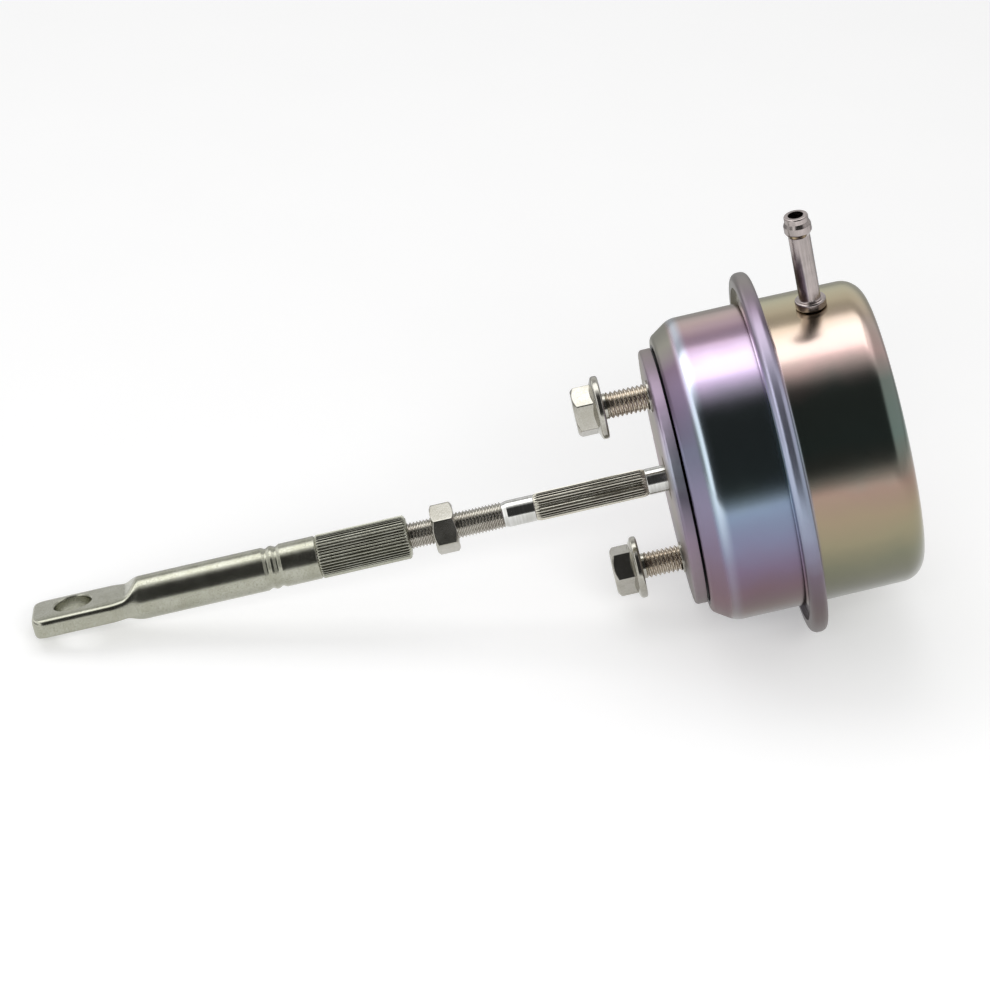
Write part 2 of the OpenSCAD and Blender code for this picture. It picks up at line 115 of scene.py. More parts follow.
def corner(a: Vector, b: Vector, c: Vector, radius: float, steps: int) -> list[tuple[float, float]]:
    """Round one corner of an outline.

    Args:
        a: The point before the corner.
        b: The corner.
        c: The point after the corner.
        radius: The corner's radius.
        steps: How many chords the arc gets.

    Returns:
        The points of the arc.
    """
    u, v = (a - b).normalized(), (c - b).normalized()
    half = u.angle(v) / 2
    centre = b + (u + v).normalized() * (radius / math.sin(half))
    p = b + u * (radius / math.tan(half)) - centre
    q = b + v * (radius / math.tan(half)) - centre
    arc = []
    for i in range(steps + 1):
        d = (p * (steps - i) + q * i).normalized() * radius + centre
        arc.append((d.x, d.y))
    return arc


def rounded(points: Sequence[Station], steps: int = 8) -> list[tuple[float, float]]:
    """Round the corners of an outline that carry a radius.

    Args:
        points: Radius and station of each point, with a corner radius as a third value.
        steps: How many chords each arc gets.

    Returns:
        The outline with its arcs.
    """
    out: list[tuple[float, float]] = []
    for i, point in enumerate(points):
        if 0 < i < len(points) - 1 and len(point) > 2 and point[2] > 0:
            a, b, c = (Vector(points[k][:2]) for k in (i - 1, i, i + 1))
            out += corner(a, b, c, point[2], steps)
        else:
            out.append((point[0], point[1]))
    return out


def beside(path: Sequence[tuple[float, float]], gap: float) -> list[tuple[float, float]]:
    """Move a path to its left, with mitred corners.

    Args:
        path: The points of the path.
        gap: How far to move it.

    Returns:
        The moved path.
    """
    points = [Vector(p) for p in path]
    out = []
    for i, point in enumerate(points):
        before = (points[max(i, 1)] - points[max(i - 1, 0)]).normalized()
        after = (points[i + 1] - point).normalized() if i < len(points) - 1 else before
        n0, n1 = Vector((-before.y, before.x)), Vector((-after.y, after.x))
        mitre = (n0 + n1).normalized()
        moved = point + mitre * (gap / mitre.dot(n0))
        out.append((moved.x, moved.y))
    return out


def sheet(path: Sequence[tuple[float, float]], thick: float) -> list[tuple[float, float]]:
    """Give the closed outline of a sheet that lies to the left of a path.

    Args:
        path: The points of the sheet's one side.
        thick: The sheet's thickness, negative for the other side.

    Returns:
        The closed outline.
    """
    return list(path) + beside(path, thick)[::-1]


def soft_least(a: float, b: float, blend: float) -> float:
    """Return the lesser of two lengths, with the change between them rounded over blend."""
    m = min(a, b)
    return m - blend * math.log(math.exp((m - a) / blend) + math.exp((m - b) / blend))


def hexagon(flats: float, turn: float, blend: float) -> Callable[[float], float]:
    """Describe a hexagon with slightly rounded corners.

    Args:
        flats: The width across its flats.
        turn: Its turn about the axis, in degrees.
        blend: How soft its corners are.

    Returns:
        A function that gives the hexagon's reach at an angle.
    """

    def reach(angle: float) -> float:
        """Return the reach from the axis at one angle."""
        local = (angle - math.radians(turn)) % math.radians(60) - math.radians(30)
        near = flats / 2 / math.cos(local)
        other = flats / 2 / math.cos(math.radians(60) - abs(local))
        return soft_least(near, other, blend)

    return reach


@dataclass
class Loft:
    """A closed skin through rings that lie one after another along a piece."""

    name: str
    sides: int = 192

    def ring(self, radius: float, station: float, limit: Callable[[float], float] | None = None,
             blend: float = 0.06) -> Ring:
        """Make one ring about the X axis.

        Args:
            radius: The ring's radius.
            station: Its place along X.
            limit: The reach that it may have at each angle, such as a hexagon's.
            blend: How softly the limit takes over.

        Returns:
            The ring's points, or a single point on the axis.
        """
        if radius < 1e-6:
            return [Vector((station, 0, 0))]
        ring = []
        for k in range(self.sides):
            angle = math.tau * k / self.sides
            r = soft_least(radius, limit(angle), blend) if limit else radius
            ring.append(Vector((station, -r * math.sin(angle), r * math.cos(angle))))
        return ring

    def turned(self, outline: Sequence[tuple[float, float]], limit: Callable[[float], float] | None = None,
               wrap: bool = False) -> bpy.types.Mesh:
        """Turn an outline round the X axis.

        Args:
            outline: Radius and station of each point.
            limit: The reach that the piece may have at each angle.
            wrap: Whether the last point joins the first.

        Returns:
            The closed mesh.
        """
        return self.skin([self.ring(r, x, limit) for r, x in outline], wrap)

    def skin(self, rings: Sequence[Ring], wrap: bool = False) -> bpy.types.Mesh:
        """Join rings into a closed mesh.

        Args:
            rings: The rings in order, in millimetres; a ring of one point closes a pole.
            wrap: Whether the last ring joins the first.

        Returns:
            The mesh, in metres, with its faces outwards.
        """
        shape = bmesh.new()
        rows = [[shape.verts.new(p * MM) for p in ring] for ring in rings]
        pairs = list(zip(rows, rows[1:])) + ([(rows[-1], rows[0])] if wrap else [])
        for low, high in pairs:
            if len(low) == 1 and len(high) == 1:
                continue
            for k in range(self.sides):
                j = (k + 1) % self.sides
                if len(low) == 1:
                    shape.faces.new((low[0], high[j], high[k]))
                elif len(high) == 1:
                    shape.faces.new((low[k], low[j], high[0]))
                else:
                    shape.faces.new((low[k], low[j], high[j], high[k]))
        return finish_mesh(shape, self.name)


def finish_mesh(shape: bmesh.types.BMesh, name: str) -> bpy.types.Mesh:
    """Turn the faces of a closed shape outwards and store it.

    Args:
        shape: The shape, which is freed.
        name: The mesh's name.

    Returns:
        The new mesh.
    """
    bmesh.ops.recalc_face_normals(shape, faces=shape.faces)
    mesh = bpy.data.meshes.new(name)
    shape.to_mesh(mesh)
    shape.free()
    return mesh


def moved(mesh: bpy.types.Mesh, matrix: Matrix) -> bpy.types.Mesh:
    """Apply a matrix, whose lengths are in metres, to a mesh and return the mesh."""
    mesh.transform(matrix)
    return mesh


def place_object(name: str, mesh: bpy.types.Mesh) -> bpy.types.Object:
    """Put a mesh into the scene as an object at the origin and return the object."""
    piece = bpy.data.objects.new(name, mesh)
    bpy.context.scene.collection.objects.link(piece)
    return piece


def cut(mesh: bpy.types.Mesh, cutters: Sequence[bpy.types.Mesh]) -> bpy.types.Mesh:
    """Cut holes into a mesh.

    Args:
        mesh: The closed mesh to cut.
        cutters: Closed meshes, which are removed afterwards.

    Returns:
        The cut mesh.
    """
    target = place_object("blank", mesh)
    tools = [place_object("cutter", cutter) for cutter in cutters]
    for tool in tools:
        hole = target.modifiers.new("hole", "BOOLEAN")
        hole.operation, hole.solver, hole.object = "DIFFERENCE", "EXACT", tool
    bpy.context.view_layer.update()
    graph = bpy.context.evaluated_depsgraph_get()
    result = bpy.data.meshes.new_from_object(target.evaluated_get(graph))
    result.name = mesh.name
    for leftover in [target, *tools]:
        bpy.data.objects.remove(leftover)
    return result


@dataclass
class Piece:
    """One finished piece: its meshes and materials, the body it rides on and the nodes it stands for."""

    name: str
    body: Body
    slot: Slot
    replaces: tuple[str, ...]

    def assemble(self, parts: Sequence[tuple[bpy.types.Mesh, bpy.types.Material]]) -> bpy.types.Object:
        """Join the parts, shade them and tie the piece to the frame.

        Args:
            parts: Each closed mesh with its material.

        Returns:
            The finished object.
        """
        shape = bmesh.new()
        materials: list[bpy.types.Material] = []
        for mesh, material in parts:
            if material not in materials:
                materials.append(material)
            first = len(shape.faces)
            shape.from_mesh(mesh)
            shape.faces.ensure_lookup_table()
            for face in shape.faces[first:]:
                face.material_index = materials.index(material)
                face.smooth = True
        mesh = bpy.data.meshes.new(self.name)
        shape.to_mesh(mesh)
        shape.free()
        for material in materials:
            mesh.materials.append(material)
        mesh.set_sharp_from_angle(angle=SMOOTH_ANGLE)
        piece = place_object(self.name, mesh)
        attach(piece, self.body.value)
        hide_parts(*self.replaces)
        LOG.info("%s: %d faces on %s", self.name, len(mesh.polygons), self.body.value)
        return piece




@dataclass
class Board:
    """A node tree with short ways to add and join its nodes."""

    tree: bpy.types.NodeTree

    def feed(self, socket: bpy.types.NodeSocket, source: object) -> None:
        """Link a socket to another one, or set its value; None leaves it alone."""
        if isinstance(source, bpy.types.NodeSocket):
            self.tree.links.new(source, socket)
        elif source is not None:
            socket.default_value = source

    def add(self, kind: str, settings: dict[str, object] | None = None, **inputs: object) -> bpy.types.Node:
        """Add a node.

        Args:
            kind: The node's type.
            settings: The node's own properties.
            **inputs: Sources of its inputs; an underscore stands for a space.

        Returns:
            The new node.
        """
        node = self.tree.nodes.new(kind)
        for key, value in (settings or {}).items():
            setattr(node, key, value)
        for key, source in inputs.items():
            self.feed(node.inputs[key.replace("_", " ")], source)
        return node

    def math(self, operation: str, *sources: object, clamp: bool = False) -> bpy.types.NodeSocket:
        """Add a Math node.

        Args:
            operation: The operation's name.
            *sources: Up to three sockets or numbers.
            clamp: Whether the result is kept from 0 to 1.

        Returns:
            The result's socket.
        """
        node = self.tree.nodes.new("ShaderNodeMath")
        node.operation, node.use_clamp = operation, clamp
        for socket, source in zip(node.inputs, sources):
            self.feed(socket, source)
        return node.outputs[0]

    def mix(self, share: object, a: object, b: object) -> bpy.types.NodeSocket:
        """Add a colour Mix node.

        Args:
            share: The share of b.
            a: The first colour.
            b: The second colour.

        Returns:
            The mixed colour's socket.
        """
        node = self.tree.nodes.new("ShaderNodeMix")
        node.data_type = "RGBA"
        for index, source in ((0, share), (6, a), (7, b)):
            self.feed(node.inputs[index], source)
        return node.outputs[2]

    def spread(self, value: object, low: float, high: float, to_low: float = 0.0,
               to_high: float = 1.0) -> bpy.types.NodeSocket:
        """Add a smooth Map Range node.

        Args:
            value: The value to map.
            low: Where the change starts.
            high: Where it ends.
            to_low: The result up to low.
            to_high: The result from high on.

        Returns:
            The result's socket.
        """
        node = self.add("ShaderNodeMapRange", {"interpolation_type": "SMOOTHSTEP"}, From_Min=low, From_Max=high,
                        To_Min=to_low, To_Max=to_high, Value=value)
        return node.outputs[0]

    def noise(self, scale: float, where: object, detail: float = 2.0) -> bpy.types.NodeSocket:
        """Add a Noise Texture.

        Args:
            scale: Its scale in features to the metre.
            where: The coordinates it reads.
            detail: How many octaves it has.

        Returns:
            The value's socket.
        """
        return self.add("ShaderNodeTexNoise", Scale=scale, Detail=detail, Vector=where).outputs[0]

    def ramp(self, share: object, stops: Sequence[tuple[float, Colour]]) -> bpy.types.NodeSocket:
        """Add a Colour Ramp.

        Args:
            share: The value it reads.
            stops: Each stop's place from 0 to 1 and its display colour.

        Returns:
            The colour's socket.
        """
        node = self.add("ShaderNodeValToRGB", Fac=share)
        elements = node.color_ramp.elements
        while len(elements) > 1:
            elements.remove(elements[-1])
        elements[0].position, elements[0].color = stops[0][0], linear(stops[0][1])
        for place, colour in stops[1:]:
            elements.new(place).color = linear(colour)
        return node.outputs[0]


class RolledBar:
    """A Geometry Nodes tree for bars with rolled threads and straight knurls."""

    SOCKETS = (
        ("From", "NodeSocketFloat"), ("To", "NodeSocketFloat"), ("Radius", "NodeSocketFloat"),
        ("Depth", "NodeSocketFloat"), ("Turns", "NodeSocketFloat"), ("Starts", "NodeSocketFloat"),
        ("Crest", "NodeSocketFloat"), ("Root", "NodeSocketFloat"), ("From Radius", "NodeSocketFloat"),
        ("To Radius", "NodeSocketFloat"), ("End Slope", "NodeSocketFloat"), ("Rows", "NodeSocketInt"),
        ("Sides", "NodeSocketInt"), ("Material", "NodeSocketMaterial"),
    )

    def __init__(self) -> None:
        """Build the tree once, for all bars."""
        self.tree = bpy.data.node_groups.new("RolledBar", "GeometryNodeTree")
        self.ids: dict[str, str] = {}
        self.tree.interface.new_socket("Geometry", in_out="OUTPUT", socket_type="NodeSocketGeometry")
        self.tree.interface.new_socket("Geometry", in_out="INPUT", socket_type="NodeSocketGeometry")
        for name, kind in self.SOCKETS:
            socket = self.tree.interface.new_socket(name, in_out="INPUT", socket_type=kind)
            self.ids[name] = socket.identifier
        self.wire()

    def wire(self) -> None:
        """Add the nodes: a grid is rolled up, and its radius follows the thread or the knurl."""
        board = Board(self.tree)
        given = board.add("NodeGroupInput").outputs
        grid = board.add("GeometryNodeMeshGrid", Size_X=1.0, Size_Y=1.0, Vertices_X=given["Rows"],
                         Vertices_Y=given["Sides"])
        place = board.add("ShaderNodeSeparateXYZ", Vector=board.add("GeometryNodeInputPosition").outputs[0])
        last = board.math("SUBTRACT", given["Rows"], 1.0)
        row = board.math("ROUND", board.math("MULTIPLY", board.math("ADD", place.outputs[0], 0.5), last))
        inner = board.math("DIVIDE", board.math("SUBTRACT", row, 1.0), board.math("SUBTRACT", last, 2.0), clamp=True)
        length = board.math("SUBTRACT", given["To"], given["From"])
        station = board.math("MULTIPLY_ADD", inner, length, given["From"])
        round_share = board.math("ADD", place.outputs[1], 0.5)
        wave = board.math("ADD", board.math("MULTIPLY", station, given["Turns"]),
                          board.math("MULTIPLY", round_share, given["Starts"]))
        tooth = board.math("ABSOLUTE", board.math("MULTIPLY_ADD", board.math("FRACT", wave), 2.0, -1.0))
        groove = board.spread(tooth, 0.0, 1.0)
        range_node = groove.node
        range_node.interpolation_type = "LINEAR"
        board.feed(range_node.inputs["From Min"], given["Crest"])
        board.feed(range_node.inputs["From Max"], board.math("SUBTRACT", 1.0, given["Root"]))
        radius = board.math("SUBTRACT", given["Radius"], board.math("MULTIPLY", groove, given["Depth"]))
        for start, end_radius in ((board.math("SUBTRACT", station, given["From"]), given["From Radius"]),
                                  (board.math("SUBTRACT", given["To"], station), given["To Radius"])):
            limit = board.math("MULTIPLY_ADD", start, given["End Slope"], end_radius)
            radius = board.math("MINIMUM", radius, limit)
        open_row = board.math("MULTIPLY", board.math("GREATER_THAN", row, 0.5),
                              board.math("LESS_THAN", row, board.math("SUBTRACT", last, 0.5)))
        radius = board.math("MULTIPLY", radius, open_row)
        angle = board.math("MULTIPLY", round_share, math.tau)
        point = board.add("ShaderNodeCombineXYZ", X=station, Y=board.math("MULTIPLY", radius, board.math("COSINE", angle)),
                          Z=board.math("MULTIPLY", radius, board.math("SINE", angle)))
        rolled = board.add("GeometryNodeSetPosition", Geometry=grid.outputs[0], Position=point.outputs[0])
        closed = board.add("GeometryNodeMergeByDistance", Geometry=rolled.outputs[0], Distance=1e-6)
        plain = board.add("GeometryNodeRealizeInstances", Geometry=closed.outputs[0])
        dressed = board.add("GeometryNodeSetMaterial", Geometry=plain.outputs[0], Material=given["Material"])
        board.add("NodeGroupOutput", Geometry=dressed.outputs[0])

    def roll(self, name: str, material: bpy.types.Material, sizes: dict[str, float]) -> bpy.types.Mesh:
        """Make one bar.

        Args:
            name: The mesh's name.
            material: Its material.
            sizes: The tree's inputs by name, with lengths in metres.

        Returns:
            The closed bar as a plain mesh.
        """
        blank = place_object(name, bpy.data.meshes.new(name))
        bar = blank.modifiers.new("rolled", "NODES")
        bar.node_group = self.tree
        for key, value in sizes.items():
            bar[self.ids[key]] = value
        bar[self.ids["Material"]] = material
        bpy.context.view_layer.update()
        graph = bpy.context.evaluated_depsgraph_get()
        mesh = bpy.data.meshes.new_from_object(blank.evaluated_get(graph))
        blank.modifiers.remove(bar)
        bpy.data.objects.remove(blank)
        shape = bmesh.new()
        shape.from_mesh(mesh)
        bpy.data.meshes.remove(mesh)
        return finish_mesh(shape, name)

    def thread(self, name: str, material: bpy.types.Material, start: float, end: float, radius: float,
               pitch: float) -> bpy.types.Mesh:
        """Roll a right-hand thread with chamfered ends.

        Args:
            name: The mesh's name.
            material: Its material.
            start: The lower station, in millimetres.
            end: The upper station.
            radius: The radius over the crests.
            pitch: The thread's pitch.

        Returns:
            The threaded bar.
        """
        depth = 0.46 * pitch
        rows = int((end - start) / pitch * 12) + 3
        return self.roll(name, material, {
            "From": start * MM, "To": end * MM, "Radius": radius * MM, "Depth": depth * MM,
            "Turns": 1 / (pitch * MM), "Starts": -1.0, "Crest": 0.16, "Root": 0.14,
            "From Radius": (radius - depth) * MM, "To Radius": (radius - depth) * MM, "End Slope": 1.0,
            "Rows": rows, "Sides": 61})

    def knurl(self, name: str, material: bpy.types.Material, start: float, end: float, radius: float,
              depth: float, teeth: int, slope: float, crest: float = 0.3) -> bpy.types.Mesh:
        """Roll a straight knurl with bevelled ends.

        Args:
            name: The mesh's name.
            material: Its material.
            start: The lower station, in millimetres.
            end: The upper station.
            radius: The radius over the teeth.
            depth: The depth of the grooves.
            teeth: How many teeth go round.
            slope: How steep the bevels at the ends are.
            crest: How much of each tooth is flat at its top.

        Returns:
            The knurled bar.
        """
        rows = int((end - start) / 0.2) + 3
        return self.roll(name, material, {
            "From": start * MM, "To": end * MM, "Radius": radius * MM, "Depth": depth * MM,
            "Turns": 0.0, "Starts": float(teeth), "Crest": crest, "Root": 0.06,
            "From Radius": (radius - depth) * MM, "To Radius": (radius - depth) * MM, "End Slope": slope,
            "Rows": rows, "Sides": teeth * 10 + 1})




def new_material(name: str) -> tuple[bpy.types.Material, Board, bpy.types.Node]:
    """Start a material.

    Args:
        name: Its name.

    Returns:
        The material, its board and its surface shader.
    """
    material = bpy.data.materials.new(name)
    material.use_nodes = True
    board = Board(material.node_tree)
    return material, board, material.node_tree.nodes["Principled BSDF"]


@dataclass(frozen=True)
class ZincFinish:
    """Zinc passivate under a fine satin grain, whose colour drifts round the axis: partly its own iridescence and
    partly painted light, with a painted highlight line and painted seam shade.
    """

    name: str
    bands: Bands
    rim_bands: Bands
    rim_from: float
    rim_to: float
    rim_roughness: float
    # Span of painted seam shade: the stations (from the given one on if positive, up to its size if negative) and the
    # reach within which the base colour goes near black.
    seam_shade_span: tuple[float, float]
    # Station of the painted highlight line round the shoulder's corner; the default lies off the piece.
    painted_highlight_x: float = 90.0
    roughness: float = 0.19
    grain: float = 0.2
    face: Colour = (0.60, 0.57, 0.54)

    def make(self) -> bpy.types.Material:
        """Build the material and return it."""
        material, board, shader = new_material(self.name)
        where = board.add("ShaderNodeTexCoord").outputs["Object"]
        place = board.add("ShaderNodeSeparateXYZ", Vector=where).outputs
        turn = board.math("DIVIDE", board.math("ARCTAN2", place[2], board.math("MULTIPLY", place[1], -1.0)), math.tau)
        drift = board.math("MULTIPLY_ADD", board.noise(60.0, where, 3.0), 0.05, -0.025)
        share = board.math("FRACT", board.math("ADD", turn, board.math("ADD", drift, 1.0)))
        edge = board.spread(place[0], self.rim_from * MM, self.rim_to * MM)
        tint = board.mix(edge, *(board.ramp(share, [(angle / 360, colour) for angle, colour in bands])
                                 for bands in (self.bands, self.rim_bands)))
        reach = board.math("SQRT", board.math("ADD", board.math("POWER", place[1], 2.0),
                                              board.math("POWER", place[2], 2.0)))
        tint = board.mix(board.spread(reach, 4.0 * MM, 28.0 * MM), linear(self.face), tint)
        # Painted highlight: a pale line round the shoulder's corner, stronger towards the top.
        painted_highlight = board.math("MULTIPLY", board.spread(place[0], (self.painted_highlight_x - 1.3) * MM, (self.painted_highlight_x + 0.1) * MM),
                          board.spread(place[0], (self.painted_highlight_x + 2.2) * MM, (self.painted_highlight_x + 0.1) * MM))
        painted_highlight = board.math("MULTIPLY", painted_highlight, board.spread(place[2], -6.0 * MM, 14.0 * MM, 0.12, 0.7))
        tint = board.mix(painted_highlight, tint, linear(PAINTED_EDGE_HIGHLIGHT))
        # Painted shade: inside this span the base colour is turned near black, where shade falls in the seam behind the
        # plate's edge and on the plate's back.
        inner = board.math("LESS_THAN", reach, self.seam_shade_span[1] * MM)
        low, high = (self.seam_shade_span[0], 90.0) if self.seam_shade_span[0] > 0 else (0.0, -self.seam_shade_span[0])
        painted_seam_shade = board.math("MULTIPLY", inner, board.math("MULTIPLY", board.math("GREATER_THAN", place[0], low * MM),
                                                         board.math("LESS_THAN", place[0], high * MM)))
        speck = board.noise(5200.0, where, 1.0)
        cloud = board.noise(180.0, where, 3.0)
        fine = board.math("MULTIPLY", board.math("SUBTRACT", speck, 0.5), 0.10)
        shade = board.add("ShaderNodeHueSaturation", Value=board.math("ADD", 1.0, fine), Color=tint)
        # The painted seam shade is mixed in here as near-black base colour.
        board.feed(shader.inputs["Base Color"], board.mix(painted_seam_shade, shade.outputs[0], (0.004, 0.004, 0.005, 1.0)))
        shader.inputs["Metallic"].default_value = 1.0
        gloss = board.math("MULTIPLY_ADD", edge, self.rim_roughness - self.roughness, self.roughness - 0.03)
        board.feed(shader.inputs["Roughness"], board.math("MULTIPLY_ADD", cloud, 0.06, gloss))
        bump = board.add("ShaderNodeBump", Strength=self.grain, Distance=1.2e-5, Height=speck)
        board.feed(shader.inputs["Normal"], bump.outputs[0])
        return material


@dataclass(frozen=True)
class NickelFinish:
    """Nickel plate: warm grey, with fine marks along or round the part and slight clouding."""

    name: str
    colour: Colour
    shade: Colour
    roughness: float
    stretch: tuple[float, float, float] = (1.0, 1.0, 1.0)
    marks: float = 0.15
    marks_scale: float = 2600.0
    speckle: float = 0.0

    def make(self) -> bpy.types.Material:
        """Build the material and return it."""
        material, board, shader = new_material(self.name)
        where = board.add("ShaderNodeTexCoord").outputs["Object"]
        drawn = board.add("ShaderNodeMapping", Scale=self.stretch, Vector=where).outputs[0]
        marks = board.noise(self.marks_scale, drawn, 2.0)
        cloud = board.noise(240.0, where, 3.0)
        share = board.math("ADD", board.math("MULTIPLY", cloud, 0.55), board.math("MULTIPLY", marks, 0.45))
        tint = board.mix(board.spread(share, 0.36, 0.64), linear(self.shade), linear(self.colour))
        height = marks
        if self.speckle > 0:
            pits = board.spread(board.noise(3400.0, where, 1.0), 0.56, 0.68)
            dark = linear(tuple(c * 0.45 for c in self.shade))
            tint = board.mix(board.math("MULTIPLY", pits, self.speckle), tint, dark)
            height = board.math("SUBTRACT", marks, board.math("MULTIPLY", pits, self.speckle * 2.0))
        board.feed(shader.inputs["Base Color"], tint)
        shader.inputs["Metallic"].default_value = 1.0
        board.feed(shader.inputs["Roughness"], board.math("MULTIPLY_ADD", cloud, 0.12, self.roughness - 0.06))
        bump = board.add("ShaderNodeBump", Strength=self.marks, Distance=1.0e-5, Height=height)
        board.feed(shader.inputs["Normal"], bump.outputs[0])
        return material


@dataclass(frozen=True)
class PlainFinish:
    """A hidden piece's finish: a base colour with grain, for metal, bronze or rubber."""

    name: str
    colour: Colour
    metallic: float
    roughness: float
    scale: float = 900.0

    def make(self) -> bpy.types.Material:
        """Build the material and return it."""
        material, board, shader = new_material(self.name)
        where = board.add("ShaderNodeTexCoord").outputs["Object"]
        grain = board.noise(self.scale, where, 4.0)
        dark = linear(tuple(c * 0.78 for c in self.colour))
        board.feed(shader.inputs["Base Color"], board.mix(grain, dark, linear(self.colour)))
        shader.inputs["Metallic"].default_value = self.metallic
        board.feed(shader.inputs["Roughness"], board.math("MULTIPLY_ADD", grain, 0.16, self.roughness - 0.08))
        bump = board.add("ShaderNodeBump", Strength=0.3, Distance=2.0e-5, Height=grain)
        board.feed(shader.inputs["Normal"], bump.outputs[0])
        return material


# Colour round the axis by angle, 0 facing the camera side and 90 on top. The hues are partly the passivate's own
# iridescence and partly painted light: the pale stops near 30 to 50 on the flange, shoulder and plate are painted
# reflection where a dark reflection falls, and the darker stops near 300 to 335 are painted shade towards the bottom.
FRONT_BANDS: Bands = (
    (0, (0.49, 0.50, 0.60)), (12, (0.48, 0.54, 0.63)), (24, (0.50, 0.57, 0.58)), (46, (0.52, 0.57, 0.58)),
    (60, (0.76, 0.69, 0.81)), (70, (0.74, 0.68, 0.76)), (78, (0.68, 0.60, 0.69)), (87, (0.71, 0.60, 0.67)),
    (98, (0.76, 0.66, 0.65)),
    (116, (0.66, 0.63, 0.56)), (155, (0.62, 0.60, 0.50)), (200, (0.74, 0.64, 0.68)), (250, (0.54, 0.54, 0.60)),
    (300, (0.43, 0.39, 0.38)), (318, (0.45, 0.38, 0.36)), (334, (0.50, 0.41, 0.45)), (347, (0.50, 0.44, 0.53)),
    (360, (0.49, 0.50, 0.60)),
)
REAR_BANDS: Bands = (
    (0, (0.61, 0.55, 0.46)), (11, (0.60, 0.51, 0.46)), (20, (0.54, 0.54, 0.50)), (30, (0.50, 0.57, 0.54)),
    (48, (0.52, 0.56, 0.53)), (60, (0.79, 0.68, 0.66)), (71, (0.78, 0.71, 0.67)), (79, (0.74, 0.67, 0.60)),
    (88, (0.74, 0.68, 0.57)),
    (102, (0.74, 0.72, 0.58)), (122, (0.68, 0.66, 0.53)), (160, (0.64, 0.62, 0.50)), (205, (0.74, 0.66, 0.62)),
    (250, (0.56, 0.56, 0.48)), (302, (0.42, 0.42, 0.38)), (322, (0.44, 0.44, 0.38)), (337, (0.51, 0.51, 0.43)),
    (350, (0.59, 0.56, 0.46)), (360, (0.61, 0.55, 0.46)),
)
FLANGE_BANDS: Bands = (
    (0, (0.53, 0.53, 0.61)), (12, (0.60, 0.64, 0.72)), (30, (0.72, 0.75, 0.84)), (48, (0.78, 0.78, 0.88)),
    (62, (0.66, 0.62, 0.70)), (80, (0.57, 0.51, 0.58)), (100, (0.57, 0.54, 0.53)), (122, (0.60, 0.60, 0.58)),
    (160, (0.58, 0.56, 0.52)), (200, (0.66, 0.58, 0.62)), (250, (0.52, 0.50, 0.54)), (302, (0.42, 0.39, 0.38)),
    (330, (0.44, 0.39, 0.39)), (349, (0.46, 0.41, 0.46)), (360, (0.53, 0.53, 0.61)),
)
SHOULDER_BANDS: Bands = (
    (0, (0.51, 0.46, 0.54)), (20, (0.54, 0.52, 0.61)), (40, (0.56, 0.57, 0.66)), (56, (0.56, 0.50, 0.60)),
    (74, (0.48, 0.41, 0.48)), (90, (0.57, 0.56, 0.52)), (122, (0.60, 0.60, 0.55)), (160, (0.58, 0.56, 0.50)),
    (200, (0.60, 0.52, 0.56)), (250, (0.50, 0.47, 0.50)), (302, (0.46, 0.39, 0.38)), (330, (0.51, 0.41, 0.44)),
    (360, (0.51, 0.46, 0.54)),
)
PLATE_BANDS: Bands = (
    (0, (0.56, 0.50, 0.56)), (20, (0.52, 0.50, 0.56)), (34, (0.76, 0.78, 0.84)), (48, (0.80, 0.76, 0.84)),
    (60, (0.60, 0.54, 0.62)), (80, (0.58, 0.52, 0.58)), (100, (0.60, 0.56, 0.56)), (122, (0.60, 0.58, 0.55)),
    (160, (0.58, 0.56, 0.52)), (200, (0.64, 0.58, 0.60)), (250, (0.54, 0.52, 0.54)), (302, (0.48, 0.46, 0.44)),
    (330, (0.56, 0.51, 0.53)), (360, (0.56, 0.50, 0.56)),
)
# Colour of the painted highlight line on the shoulder's corner.
PAINTED_EDGE_HIGHLIGHT: Colour = (0.82, 0.88, 0.94)


